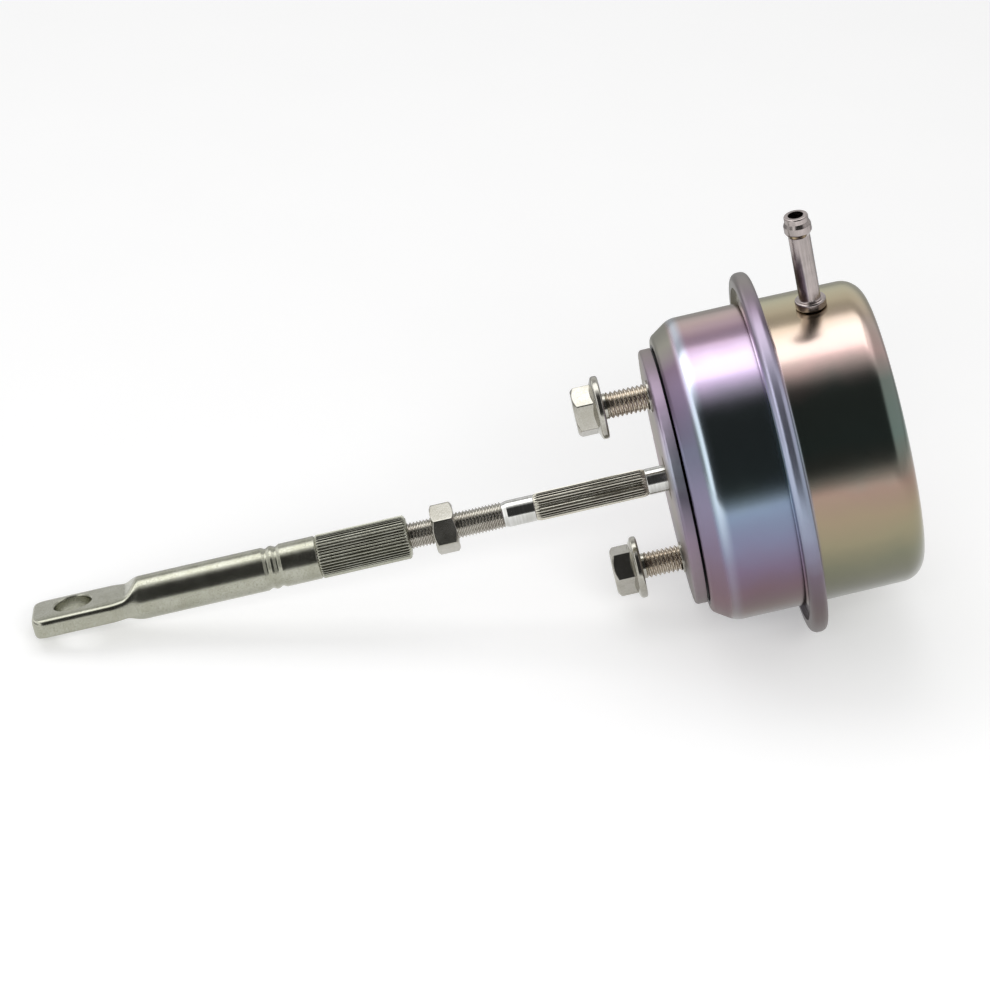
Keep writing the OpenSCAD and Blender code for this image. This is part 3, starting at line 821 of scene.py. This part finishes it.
class Finishes:
    """Every finish of the actuator, made once."""

    def __init__(self) -> None:
        """Make the materials."""
        # The last tuple of each zinc finish is its span of painted seam shade; the rear one is too small to show.
        self.front = ZincFinish("zinc_front", FRONT_BANDS, SHOULDER_BANDS, 7.6, 6.2, 0.40, (-3.2, 29.7),
                                painted_highlight_x=7.9).make()
        self.rear = ZincFinish("zinc_rear", REAR_BANDS, FLANGE_BANDS, 28.4, 27.3, 0.36, (-0.1, 0.1)).make()
        self.plate = ZincFinish("zinc_plate", PLATE_BANDS, PLATE_BANDS, 4.0, 3.2, 0.46, (2.55, 40.0),
                                grain=0.35).make()
        self.nickel = NickelFinish("nickel_plate", (0.73, 0.72, 0.69), (0.66, 0.65, 0.61), 0.17).make()
        self.thread = NickelFinish("nickel_thread", (0.82, 0.79, 0.74), (0.74, 0.70, 0.65), 0.24, marks=0.05).make()
        self.rod_thread = NickelFinish("nickel_rod_thread", (0.76, 0.75, 0.72), (0.66, 0.64, 0.61), 0.2,
                                       marks=0.06).make()
        self.drawn = NickelFinish("nickel_drawn", (0.84, 0.84, 0.83), (0.76, 0.76, 0.74), 0.12,
                                  (1.0, 0.06, 0.06), 0.12).make()
        self.knurled = NickelFinish("nickel_knurled", (0.80, 0.79, 0.74), (0.74, 0.72, 0.67), 0.20, marks=0.05).make()
        self.forged = NickelFinish("nickel_forged", (0.70, 0.70, 0.65), (0.64, 0.64, 0.58), 0.24,
                                   marks=0.25, speckle=0.22).make()
        self.barb = NickelFinish("nickel_barb", (0.72, 0.68, 0.67), (0.62, 0.59, 0.58), 0.2,
                                 (1.0, 1.0, 0.05), 0.3).make()
        self.bore = NickelFinish("bore_bronzed", (0.55, 0.44, 0.33), (0.36, 0.27, 0.19), 0.3, marks=0.4).make()
        self.inner = PlainFinish("pressed_steel", (0.56, 0.56, 0.55), 1.0, 0.38).make()
        self.spring = PlainFinish("spring_wire", (0.34, 0.34, 0.36), 1.0, 0.34).make()
        self.bronze = PlainFinish("sintered_bronze", (0.62, 0.46, 0.26), 1.0, 0.42, 2400.0).make()
        self.rubber = PlainFinish("moulded_rubber", (0.055, 0.055, 0.06), 0.0, 0.62, 1400.0).make()




@dataclass
class Canister:
    """The crimped canister: two pressed shells and the plate on its face, in millimetres."""

    shell_r: float = 34.4
    front_sheet: float = 1.2
    rear_sheet: float = 1.0
    diaphragm_t: float = 0.6
    flange_x: float = 26.0
    flange_r: float = 41.0
    lip_w: float = 3.1
    length: float = 51.4
    rear_corner: float = 5.2
    rear_draft: float = 0.25
    face_r: float = 31.2
    face_x: float = 3.1
    shoulder_end: float = 8.0
    plate_r: float = 29.0
    plate_t: float = 2.5
    seam_h: float = 0.45
    seam_w: float = 0.9
    hole_r: float = 5.0
    bolt_z: float = 21.25
    pilot_r: float = 3.63
    barb_x: float = 38.4
    barb_hole_r: float = 2.45

    def front_flange_x(self) -> float:
        """Return the station of the front flange's outer side."""
        return self.flange_x - self.diaphragm_t / 2 - self.front_sheet

    def pilots(self, low: float, high: float) -> list[bpy.types.Mesh]:
        """Return cutters for the two pilot holes between two stations."""
        cutters = []
        for side in (-1, 1):
            hole = Loft("pilot", 64).turned([(0, low), (self.pilot_r, low), (self.pilot_r, high), (0, high)])
            cutters.append(moved(hole, Matrix.Translation((0, 0, side * self.bolt_z * MM))))
        return cutters

    def front(self, finishes: Finishes) -> bpy.types.Object:
        """Build the front shell: a pressed cup with a sloping shoulder and an outward flange."""
        path = rounded([
            (self.hole_r, self.face_x), (self.face_r, self.face_x, 1.6),
            (self.shell_r, self.shoulder_end, 5.0), (self.shell_r, self.front_flange_x(), 1.0),
            (self.flange_r - self.rear_sheet - 0.6, self.front_flange_x()),
        ], 12)
        step = self.plate_r - self.seam_w
        outside = [(self.hole_r, self.plate_t), (step, self.plate_t), (step, self.face_x), *path[1:]]
        face_back = self.plate_t + self.front_sheet
        inside = [(self.hole_r, face_back), (step - 1, face_back), (step, face_back + self.face_x - self.plate_t),
                  *beside(path, self.front_sheet)[1:]]
        mesh = Loft("front_shell_look", 288).turned(outside + inside[::-1], wrap=True)
        mesh = cut(mesh, self.pilots(0.0, self.plate_t + self.front_sheet + 1))
        piece = Piece("front_shell_look", Body.HOUSING, Slot.SHELL, ("front_shell",))
        return piece.assemble([(mesh, finishes.front)])

    def rear(self, finishes: Finishes) -> bpy.types.Object:
        """Build the rear shell: a deep cup whose rim is folded over the front flange."""
        flange = self.flange_x + self.diaphragm_t / 2 + self.rear_sheet
        lip = self.front_flange_x() - self.rear_sheet
        fold = self.rear_sheet + 0.6
        path = rounded([
            (0, self.length), (self.shell_r - self.rear_draft, self.length, self.rear_corner),
            (self.shell_r, flange, 1.0), (self.flange_r, flange, fold), (self.flange_r, lip, fold),
            (self.flange_r - self.lip_w, lip),
        ], 12)
        mesh = Loft("rear_shell_look", 288).turned(sheet(path, -self.rear_sheet))
        hole = Loft("barb_hole", 64).turned([
            (0, self.shell_r - 6), (self.barb_hole_r, self.shell_r - 6), (self.barb_hole_r, self.shell_r + 6),
            (0, self.shell_r + 6)])
        upright = Matrix.Translation((self.barb_x * MM, 0, 0)) @ Matrix.Rotation(-math.pi / 2, 4, "Y")
        mesh = cut(mesh, [moved(hole, upright)])
        piece = Piece("rear_shell_look", Body.HOUSING, Slot.SHELL, ("rear_shell",))
        return piece.assemble([(mesh, finishes.rear)])

    def plate(self, finishes: Finishes) -> bpy.types.Object:
        """Build the mounting plate: a turned disc whose front edge is slightly uneven from peening."""
        outline = rounded([
            (self.hole_r, 0.15), (self.hole_r + 0.15, 0), (self.plate_r, 0, 0.7),
            (self.plate_r, self.face_x - self.seam_h, 0.1), (self.plate_r - self.seam_w, self.face_x - self.seam_h),
            (self.plate_r - self.seam_w, self.plate_t), (self.hole_r, self.plate_t),
        ], 8)
        maker = Loft("mounting_plate_look", 360)
        rings = []
        for r, x in outline:
            ring = maker.ring(r, x)
            if r > self.plate_r - 0.75 and x < 0.9:
                ring = [self.peened(p) for p in ring]
            rings.append(ring)
        mesh = cut(maker.skin(rings, wrap=True), self.pilots(-1.0, self.plate_t + 1))
        piece = Piece("mounting_plate_look", Body.HOUSING, Slot.PLATE, ("mounting_plate",))
        return piece.assemble([(mesh, finishes.plate)])

    def peened(self, point: Vector) -> Vector:
        """Return a point of the plate's front edge, pulled in a little as a peened edge is."""
        dent = noise.noise(point * 0.45) * 0.05 + noise.noise(point * 1.7) * 0.035
        inward = Vector((0, point.y, point.z)).normalized() * (abs(dent) * 1.2)
        return point - inward + Vector((abs(dent), 0, 0))


@dataclass
class HoseBarb:
    """The hose barb on the rear shell, in millimetres."""

    shell_r: float = 34.4
    rear_sheet: float = 1.0
    station: float = 38.4
    height: float = 22.4
    tube_r: float = 2.4
    bore_r: float = 1.7
    bulge_r: float = 3.025
    tip_r: float = 2.65
    collar_r: float = 3.45
    collar_h: float = 1.9

    def build(self, finishes: Finishes) -> bpy.types.Object:
        """Build the barb: a turned tube with a seating collar and one bulge."""
        top, seat = self.shell_r + self.height, self.shell_r + 0.02
        low = self.shell_r - self.rear_sheet - 1.2
        outline = rounded([
            (self.bore_r, low), (self.tube_r, low), (self.tube_r, seat), (self.collar_r, seat, 0.25),
            (self.collar_r, seat + self.collar_h, 0.45), (self.tube_r, seat + self.collar_h, 0.2),
            (self.tube_r, top - 4.7, 0.6), (self.bulge_r, top - 3.7, 0.5), (self.bulge_r, top - 2.2, 0.5),
            (self.tip_r, top - 1.3, 0.5), (self.tip_r, top, 0.35), (self.bore_r, top),
        ], 8)
        mesh = Loft("hose_barb_look", 96).turned(outline, wrap=True)
        upright = Matrix.Translation((self.station * MM, 0, 0)) @ Matrix.Rotation(-math.pi / 2, 4, "Y")
        piece = Piece("hose_barb_look", Body.HOUSING, Slot.BARB, ("hose_barb",))
        return piece.assemble([(moved(mesh, upright), finishes.barb)])


@dataclass
class FlangeBolt:
    """One hexagon flange bolt, standing off the plate, in millimetres."""

    name: str
    body: Body
    side: int
    standoff: float
    turn: float
    spacing: float = 42.5
    thread_r: float = 3.0
    length: float = 16.0
    flats: float = 10.0
    flange_r: float = 7.1
    head_h: float = 6.6
    pitch: float = 1.0

    def build(self, finishes: Finishes, bars: RolledBar) -> bpy.types.Object:
        """Build the bolt.

        Args:
            finishes: The actuator's finishes.
            bars: The tree that rolls the thread.

        Returns:
            The finished bolt.
        """
        seat, tip, top = -self.standoff, self.length - self.standoff, -self.standoff - self.head_h
        corner_r = self.flats / 2 / math.cos(math.radians(30))
        flange = rounded([
            (0, seat), (self.flange_r, seat, 0.55), (self.flange_r, seat - 1.5, 0.75),
            (corner_r - 0.3, seat - 2.2, 1.2), (corner_r - 1.6, seat - 3), (0, seat - 3),
        ], 10)
        head = rounded([
            (0, top + 0.35), (1.6, top + 0.3), (2.6, top, 0.4), (self.flats / 2 - 0.25, top, 0.6),
            (corner_r + 0.25, top + 1.0), (corner_r + 0.25, seat - 1.0), (0, seat - 1.0),
        ], 8)
        shape = hexagon(self.flats, self.turn, 0.05)
        parts = [
            (Loft("flange", 128).turned(flange), finishes.nickel),
            (Loft("head", 240).turned(dense(head, 0.16), shape), finishes.nickel),
            (Loft("neck", 96).turned([(0, seat - 0.5), (2.9, seat - 0.5), (2.9, seat + 0.7), (2.45, seat + 1.1),
                                      (0, seat + 1.1)]), finishes.nickel),
            (bars.thread("shank", finishes.thread, seat + 0.5, tip, self.thread_r, self.pitch), finishes.thread),
        ]
        shift = Matrix.Translation((0, 0, self.side * self.spacing / 2 * MM))
        piece = Piece(self.name + "_look", self.body, Slot.NICKEL, (self.name,))
        return piece.assemble([(moved(mesh, shift), material) for mesh, material in parts])


def dense(outline: Sequence[tuple[float, float]], step: float) -> list[tuple[float, float]]:
    """Split the long steps of an outline.

    Args:
        outline: The outline's points.
        step: The longest step allowed.

    Returns:
        The outline with the added points.
    """
    out = [outline[0]]
    for a, b in zip(outline, outline[1:]):
        count = max(1, math.ceil(math.dist(a, b) / step))
        out += [(a[0] + (b[0] - a[0]) * i / count, a[1] + (b[1] - a[1]) * i / count) for i in range(1, count + 1)]
    return out


@dataclass
class Rod:
    """The rod: polished, knurled, polished again and threaded, in millimetres."""

    radius: float = 3.0
    knurl_r: float = 3.15
    knurl_depth: float = 0.25
    knurl_from: float = -30.1
    knurl_to: float = -4.6
    thread_to: float = -37.6
    tip: float = -78.6
    teeth: int = 30
    pitch: float = 0.75
    collar_x: float = 42.7
    collar_r: float = 4.5
    stud_r: float = 2.5
    back: float = 49.8

    def build(self, finishes: Finishes, bars: RolledBar) -> bpy.types.Object:
        """Build the rod.

        Args:
            finishes: The actuator's finishes.
            bars: The tree that rolls the thread and the knurl.

        Returns:
            The finished rod.
        """
        core = self.knurl_r - self.knurl_depth - 0.1
        polished = rounded([
            (0, self.thread_to - 1.0), (2.5, self.thread_to - 1.0), (2.5, self.thread_to),
            (2.62, self.thread_to), (self.radius, self.thread_to + 1.3, 0.8), (self.radius, self.knurl_from - 0.15, 0.1),
            (core, self.knurl_from + 0.1), (core, self.knurl_to - 0.1), (self.radius, self.knurl_to + 0.15, 0.1),
            (self.radius, self.collar_x - 1.5), (self.collar_r, self.collar_x - 1.5, 0.3),
            (self.collar_r, self.collar_x), (self.stud_r, self.collar_x), (self.stud_r, self.back - 0.5),
            (self.stud_r - 0.5, self.back), (0, self.back),
        ], 8)
        parts = [
            (Loft("polished", 128).turned(polished), finishes.drawn),
            (bars.knurl("knurl", finishes.knurled, self.knurl_from, self.knurl_to, self.knurl_r, self.knurl_depth,
                        self.teeth, 0.25, 0.2), finishes.knurled),
            (bars.thread("rod_thread", finishes.rod_thread, self.tip, self.thread_to + 0.35, self.radius, self.pitch),
             finishes.rod_thread),
        ]
        return Piece("rod_look", Body.PLUNGER, Slot.NICKEL, ("rod",)).assemble(parts)


@dataclass
class JamNut:
    """The jam nut on the rod, in millimetres."""

    start: float = -53.3
    height: float = 5.2
    flats: float = 10.0
    bore_r: float = 3.03
    turn: float = 40.0

    def build(self, finishes: Finishes) -> bpy.types.Object:
        """Build the nut: a hexagon with chamfered corners and a countersunk bore."""
        corner_r = self.flats / 2 / math.cos(math.radians(30))
        flat = self.flats / 2
        drop = (corner_r - flat) * 0.75
        end = self.start + self.height
        outline = dense([
            (self.bore_r, self.start + 0.5), (self.bore_r + 0.5, self.start), (flat - 0.05, self.start),
            (corner_r + 0.3, self.start + drop + 0.15), (corner_r + 0.3, end - drop - 0.15), (flat - 0.05, end),
            (self.bore_r + 0.5, end), (self.bore_r, end - 0.5),
        ], 0.2)
        mesh = Loft("jam_nut_look", 240).turned(outline, hexagon(self.flats, self.turn, 0.05), wrap=True)
        return Piece("jam_nut_look", Body.JAM_NUT, Slot.NICKEL, ("jam_nut",)).assemble([(mesh, finishes.nickel)])


@dataclass
class RodEnd:
    """The rod end: a threaded sleeve with a knurl and two grooves, pressed into an eye, in millimetres."""

    radius: float = 4.9
    open_x: float = -58.8
    knurl_l: float = 20.7
    knurl_depth: float = 0.3
    teeth: int = 44
    bore_r: float = 3.03
    bore_l: float = 26.0
    groove_from_end: float = 29.8
    groove_step: float = 2.3
    groove_w: float = 0.9
    groove_deep: float = 0.45
    shoulder_x: float = -119.6
    end_x: float = -144.7
    hole_x: float = -135.3
    hole_r: float = 4.25
    eye_w: float = 13.6
    eye_t: float = 4.9
    turn: float = 10.0
    sides: int = 144

    def eye_ring(self, x: float) -> Ring:
        """Give one ring of the eye.

        Args:
            x: The ring's station.

        Returns:
            Its points, from a round at the shoulder to a soft flat bar.
        """
        away, to_end = self.shoulder_x - x, x - self.end_x
        flat, spread = self.eased(away / 4.4), self.eased(away / 7.5)
        nose = 2.8 - math.sqrt(max(2.8**2 - (2.8 - to_end) ** 2, 0)) if to_end < 2.8 else 0
        thin = 0.9 - math.sqrt(max(0.9**2 - (0.9 - to_end) ** 2, 0)) if to_end < 0.9 else 0
        half_w = self.radius * (1 - spread) + self.eye_w / 2 * spread - nose
        half_t = self.radius * (1 - flat) + self.eye_t / 2 * flat - thin
        power = 2 / (2 + 3.2 * flat)
        ring = []
        for k in range(self.sides):
            angle = math.tau * k / self.sides
            s, c = -math.sin(angle), math.cos(angle)
            ring.append(Vector((x, half_w * math.copysign(abs(s) ** power, s),
                                half_t * math.copysign(abs(c) ** power, c))))
        return ring

    def eased(self, share: float) -> float:
        """Return the share from 0 to 1, eased at both ends."""
        t = min(max(share, 0.0), 1.0)
        return t * t * (3 - 2 * t)

    def build(self, finishes: Finishes, bars: RolledBar) -> bpy.types.Object:
        """Build the rod end.

        Args:
            finishes: The actuator's finishes.
            bars: The tree that rolls the knurl.

        Returns:
            The finished rod end.
        """
        knurl_end = self.open_x - self.knurl_l
        core = self.radius + 0.05 - self.knurl_depth - 0.12
        outline: list[Station] = [
            (0, self.open_x - self.bore_l), (self.bore_r, self.open_x - self.bore_l),
            (self.bore_r, self.open_x - 0.5), (self.bore_r + 0.45, self.open_x), (self.radius - 0.75, self.open_x, 0.2),
            (core, self.open_x - 0.35), (core, knurl_end + 0.1), (self.radius, knurl_end - 0.3, 0.15),
        ]
        for groove in (self.open_x - self.groove_from_end, self.open_x - self.groove_from_end - self.groove_step):
            outline += [(self.radius, groove + self.groove_w, 0.3), (self.radius - self.groove_deep, groove, 0.5),
                        (self.radius, groove - self.groove_w, 0.3)]
        outline.append((self.radius, self.shoulder_x))
        maker = Loft("rod_end_look", self.sides)
        rings = [maker.ring(r, x) for r, x in rounded(outline, 8)]
        station = self.shoulder_x - 0.25
        while station > self.end_x + 3.0:
            rings.append(self.eye_ring(station))
            station -= 0.25
        rings += [self.eye_ring(self.end_x + 2.8 * (1 - math.sin(math.radians(5 * i))) + 0.004) for i in range(19)]
        rings.append([Vector((self.end_x, 0, 0))])
        body = maker.skin(rings)
        chamfer = self.eye_t / 2
        hole = Loft("eye_hole", 96).turned(rounded([
            (0, -4), (self.hole_r + 4.3 - chamfer, -4), (self.hole_r, -chamfer + 0.3, 0.3),
            (self.hole_r, chamfer - 0.3, 0.3), (self.hole_r + 4.3 - chamfer, 4), (0, 4)], 6))
        hole = moved(hole, Matrix.Translation((self.hole_x * MM, 0, 0)) @ Matrix.Rotation(-math.pi / 2, 4, "Y"))
        body = cut(body, [hole])
        knurl = bars.knurl("sleeve_knurl", finishes.forged, knurl_end, self.open_x - 0.3, self.radius + 0.05,
                           self.knurl_depth, self.teeth, 0.8)
        mouth = Loft("mouth", 96).turned([(0, self.open_x - self.bore_l), (self.bore_r, self.open_x - self.bore_l),
                                          (self.bore_r, self.open_x + 1), (0, self.open_x + 1)])
        knurl = cut(knurl, [mouth])
        lean = Matrix.Rotation(math.radians(-self.turn), 4, "X")
        parts = [(moved(body, lean), finishes.forged), (moved(knurl, lean), finishes.forged)]
        return Piece("rod_end_look", Body.ROD_END, Slot.FORGED, ("rod_end",)).assemble(parts)


@dataclass(frozen=True)
class SoftPiece:
    """A piece between the housing and the piston, which in the actuator shortens as the rod slides; here a fixed copy
    on the housing, in millimetres.
    """

    node: str
    slot: Slot
    held_x: float
    travel: float = 12.0

    def build(self, material: bpy.types.Material) -> bpy.types.Object:
        """Copy the node's solid onto the housing, where it stays.

        Args:
            material: The piece's finish.

        Returns:
            The finished piece.
        """
        mesh = frame["nodes"][self.node].data.copy()
        mesh.materials.clear()
        mesh.materials.append(material)
        piece = place_object(self.node + "_look", mesh)
        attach(piece, Body.HOUSING.value)
        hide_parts(self.node)
        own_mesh(piece)
        return piece


class HiddenPieces:
    """The CAD nodes that keep their own meshes and get a finish."""

    def dress(self, finishes: Finishes) -> None:
        """Give each node its finish.

        Args:
            finishes: The actuator's finishes.
        """
        looks = {
            "weld_nut_upper": finishes.nickel, "weld_nut_lower": finishes.nickel, "guide_bush": finishes.bronze,
            "guide_retainer": finishes.inner, "rod_wiper": finishes.rubber, "spring_seat": finishes.inner,
            "bump_stop": finishes.rubber, "piston": finishes.inner, "retainer_plate": finishes.inner,
            "clamp_washer": finishes.inner, "piston_nut": finishes.nickel,
        }
        for name, material in looks.items():
            mesh = frame["nodes"][name].data
            mesh.materials.clear()
            mesh.materials.append(material)
            LOG.info("%s: dressed in %s", name, material.name)




@dataclass
class Studio:
    """A white studio: soft light all round, a dark panel above the camera and a pale floor."""

    floor_z: float = -41.2
    floor_x: float = 26.0
    floor_slope: float = 0.22
    floor_half: float = 4.0
    diffuse_level: float = 0.50
    glow: float = 0.32
    peak: float = 1.4
    surround: tuple[tuple[float, float], ...] = (
        (0, 0.45), (5, 0.12), (10, 0.045), (66, 0.045), (74, 0.06), (82, 0.40), (90, 0.90), (98, 1.30), (116, 1.40),
        (127, 1.0), (136, 0.50), (145, 0.55), (153, 0.80), (170, 0.80), (185, 0.55), (205, 0.45), (352, 0.60),
        (360, 0.45))

    def world(self) -> None:
        """Build the surroundings: white to the camera, even for matt surfaces, graded for metal."""
        world = bpy.data.worlds.new("studio")
        bpy.context.scene.world = world
        world.use_nodes = True
        board = Board(world.node_tree)
        back = world.node_tree.nodes["Background"]
        place = board.add("ShaderNodeSeparateXYZ", Vector=board.add("ShaderNodeTexCoord").outputs["Generated"]).outputs
        turn = board.math("DIVIDE", board.math("ARCTAN2", place[2], board.math("MULTIPLY", place[1], -1.0)), math.tau)
        share = board.math("FRACT", board.math("ADD", turn, 1.0))
        ramp = board.add("ShaderNodeValToRGB", Fac=share)
        elements = ramp.color_ramp.elements
        elements[0].position, elements[0].color = 0.0, self.level(self.surround[0][1])
        elements[1].position, elements[1].color = 1.0, self.level(self.surround[-1][1])
        for angle, level in self.surround[1:-1]:
            elements.new(angle / 360).color = self.level(level)
        shown = board.mix(board.spread(place[0], -0.36, -0.52), ramp.outputs[0], self.level(1.4))
        shown = board.mix(board.spread(place[0], -0.68, -0.82), shown, self.level(0.34))
        shown = board.mix(board.spread(place[0], 0.55, 0.75), shown, self.level(0.6))
        path = board.add("ShaderNodeLightPath").outputs
        even = (self.diffuse_level,) * 3 + (1.0,)
        lit = board.mix(path["Is Glossy Ray"], even, shown)
        seen = board.math("MAXIMUM", path["Is Camera Ray"], path["Is Transmission Ray"])
        board.feed(back.inputs["Color"], board.mix(seen, lit, (1.0, 1.0, 1.0, 1.0)))
        board.feed(back.inputs["Strength"], board.math("MULTIPLY_ADD", path["Is Glossy Ray"], self.peak - 1, 1.0))

    def level(self, brightness: float) -> tuple[float, float, float, float]:
        """Return the grey that gives a brightness once the reflections' strength is applied."""
        share = brightness / self.peak
        return (share, share, share, 1.0)

    def floor(self) -> None:
        """Lay the floor under the flange and the rod end: white, with the object's soft shadow."""
        half = self.floor_half / MM
        shape = bmesh.new()
        corners = [(x * half, y * half) for x, y in ((-1, -1), (1, -1), (1, 1), (-1, 1))]
        verts = [shape.verts.new(Vector((x, y, self.floor_z + (self.floor_x - x) * self.floor_slope)) * MM)
                 for x, y in corners]
        shape.faces.new(verts)
        mesh = bpy.data.meshes.new("floor")
        shape.to_mesh(mesh)
        shape.free()
        floor = place_object("floor", mesh)
        material, board, shader = new_material("floor_white")
        where = board.add("ShaderNodeTexCoord").outputs["Object"]
        matt = board.mix(board.noise(30.0, where, 2.0), (0.79, 0.79, 0.79, 1.0), (0.81, 0.81, 0.81, 1.0))
        board.feed(shader.inputs["Base Color"], matt)
        shader.inputs["Roughness"].default_value = 1.0
        shader.inputs["Specular IOR Level"].default_value = 0.0
        path = board.add("ShaderNodeLightPath").outputs
        seen = board.math("MAXIMUM", path["Is Camera Ray"],
                          board.math("MAXIMUM", path["Is Glossy Ray"], path["Is Transmission Ray"]))
        glow = board.add("ShaderNodeEmission", Color=(1.0, 1.0, 1.0, 1.0), Strength=board.math("MULTIPLY", seen, self.glow))
        both = board.add("ShaderNodeAddShader")
        board.tree.links.new(shader.outputs[0], both.inputs[0])
        board.tree.links.new(glow.outputs[0], both.inputs[1])
        depth = board.add("ShaderNodeSeparateXYZ", Vector=where).outputs[1]
        away = board.math("MULTIPLY", path["Is Glossy Ray"], board.spread(depth, 0.05, 0.22))
        dim = board.add("ShaderNodeEmission", Color=(1.0, 1.0, 1.0, 1.0), Strength=0.40)
        faded = board.add("ShaderNodeMixShader", Fac=away)
        board.tree.links.new(both.outputs[0], faded.inputs[1])
        board.tree.links.new(dim.outputs[0], faded.inputs[2])
        gone = board.add("ShaderNodeBsdfTransparent")
        side = board.add("ShaderNodeMixShader", Fac=board.add("ShaderNodeNewGeometry").outputs["Backfacing"])
        board.tree.links.new(faded.outputs[0], side.inputs[1])
        board.tree.links.new(gone.outputs[0], side.inputs[2])
        output = board.tree.nodes["Material Output"]
        board.tree.links.new(side.outputs[0], output.inputs["Surface"])
        mesh.materials.append(material)
        LOG.info("floor: laid at slope %.2f", self.floor_slope)

    def lamp(self, name: str, place: tuple[float, float, float], size: tuple[float, float],
             power: float) -> bpy.types.Object:
        """Hang one soft lamp that looks at the object.

        Args:
            name: The lamp's name.
            place: Where it hangs, in metres.
            size: Its width and height.
            power: Its power in watts.

        Returns:
            The lamp.
        """
        data = bpy.data.lights.new(name, "AREA")
        data.shape, (data.size, data.size_y), data.energy = "RECTANGLE", size, power
        lamp = bpy.data.objects.new(name, data)
        bpy.context.scene.collection.objects.link(lamp)
        lamp.location = Vector(place)
        lamp.rotation_euler = (Vector((-0.03, 0, 0)) - lamp.location).to_track_quat("-Z", "Y").to_euler()
        return lamp

    def build(self) -> None:
        """Set up the view transform, the surroundings, the floor and the lamp."""
        bpy.context.scene.view_settings.view_transform = "Standard"
        self.world()
        self.floor()
        self.lamp("overhead", (-0.02, 0.32, 0.75), (0.9, 0.5), 1.5)
        self.lamp("front_fill", (0.0, -0.62, 0.34), (0.8, 0.3), 3.0).visible_glossy = False
        LOG.info("studio: ready")


@dataclass
class PhotoCamera:
    """The camera at the photograph's viewing angle, for a square picture of 990 points."""

    azimuth: float = -1.35
    elevation: float = 30.79
    roll: float = 13.54
    distance: float = 800.0
    scale: float = 4.486
    centre_px: tuple[float, float] = (465.3, 523.5)
    picture_px: float = 990.0
    target: tuple[float, float, float] = (-46.0, 0.0, 0.0)

    def build(self) -> None:
        """Place the camera and aim it so that the picture needs no shift."""
        az, el, roll = (math.radians(a) for a in (self.azimuth, self.elevation, self.roll))
        back = Vector((-math.sin(az) * math.cos(el), -math.cos(az) * math.cos(el), math.sin(el)))
        level = Vector((math.cos(az), -math.sin(az), 0))
        rise = back.cross(level)
        right = math.cos(roll) * level - math.sin(roll) * rise
        up = math.sin(roll) * level + math.cos(roll) * rise
        place = Vector(self.target) + back * self.distance
        middle = self.picture_px / 2
        aim = Vector(self.target) + right * ((middle - self.centre_px[0]) / self.scale)
        aim += up * ((self.centre_px[1] - middle) / self.scale)
        out = (place - aim).normalized()
        across = (right - out * right.dot(out)).normalized()
        over = out.cross(across)
        data = bpy.data.cameras.new("photo_camera")
        data.sensor_width = 36.0
        data.lens = self.scale * self.distance / self.picture_px * data.sensor_width
        data.clip_start, data.clip_end = 0.01, 20.0
        camera = bpy.data.objects.new("photo_camera", data)
        bpy.context.scene.collection.objects.link(camera)
        camera.matrix_world = Matrix.Translation(place * MM) @ Matrix((across, over, out)).transposed().to_4x4()
        bpy.context.scene.camera = camera
        LOG.info("camera: lens %.1f mm", data.lens)


def main() -> None:
    """Build the studio and every piece in order."""
    logging.basicConfig(level=logging.INFO, format="%(name)s: %(message)s")
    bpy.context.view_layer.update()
    PhotoCamera().build()
    Studio().build()
    finishes = Finishes()
    bars = RolledBar()
    canister = Canister()
    canister.front(finishes)
    canister.rear(finishes)
    canister.plate(finishes)
    HoseBarb().build(finishes)
    FlangeBolt("flange_bolt_upper", Body.UPPER_BOLT, 1, 10.5, 48.0).build(finishes, bars)
    FlangeBolt("flange_bolt_lower", Body.LOWER_BOLT, -1, 9.5, 18.0).build(finishes, bars)
    Rod().build(finishes, bars)
    JamNut().build(finishes)
    RodEnd().build(finishes, bars)
    SoftPiece("spring", Slot.SPRING, 4.5).build(finishes.spring)
    SoftPiece("diaphragm", Slot.RUBBER, 26.0).build(finishes.rubber)
    HiddenPieces().dress(finishes)
    bpy.context.view_layer.update()


if __name__ == "__main__":
    main()
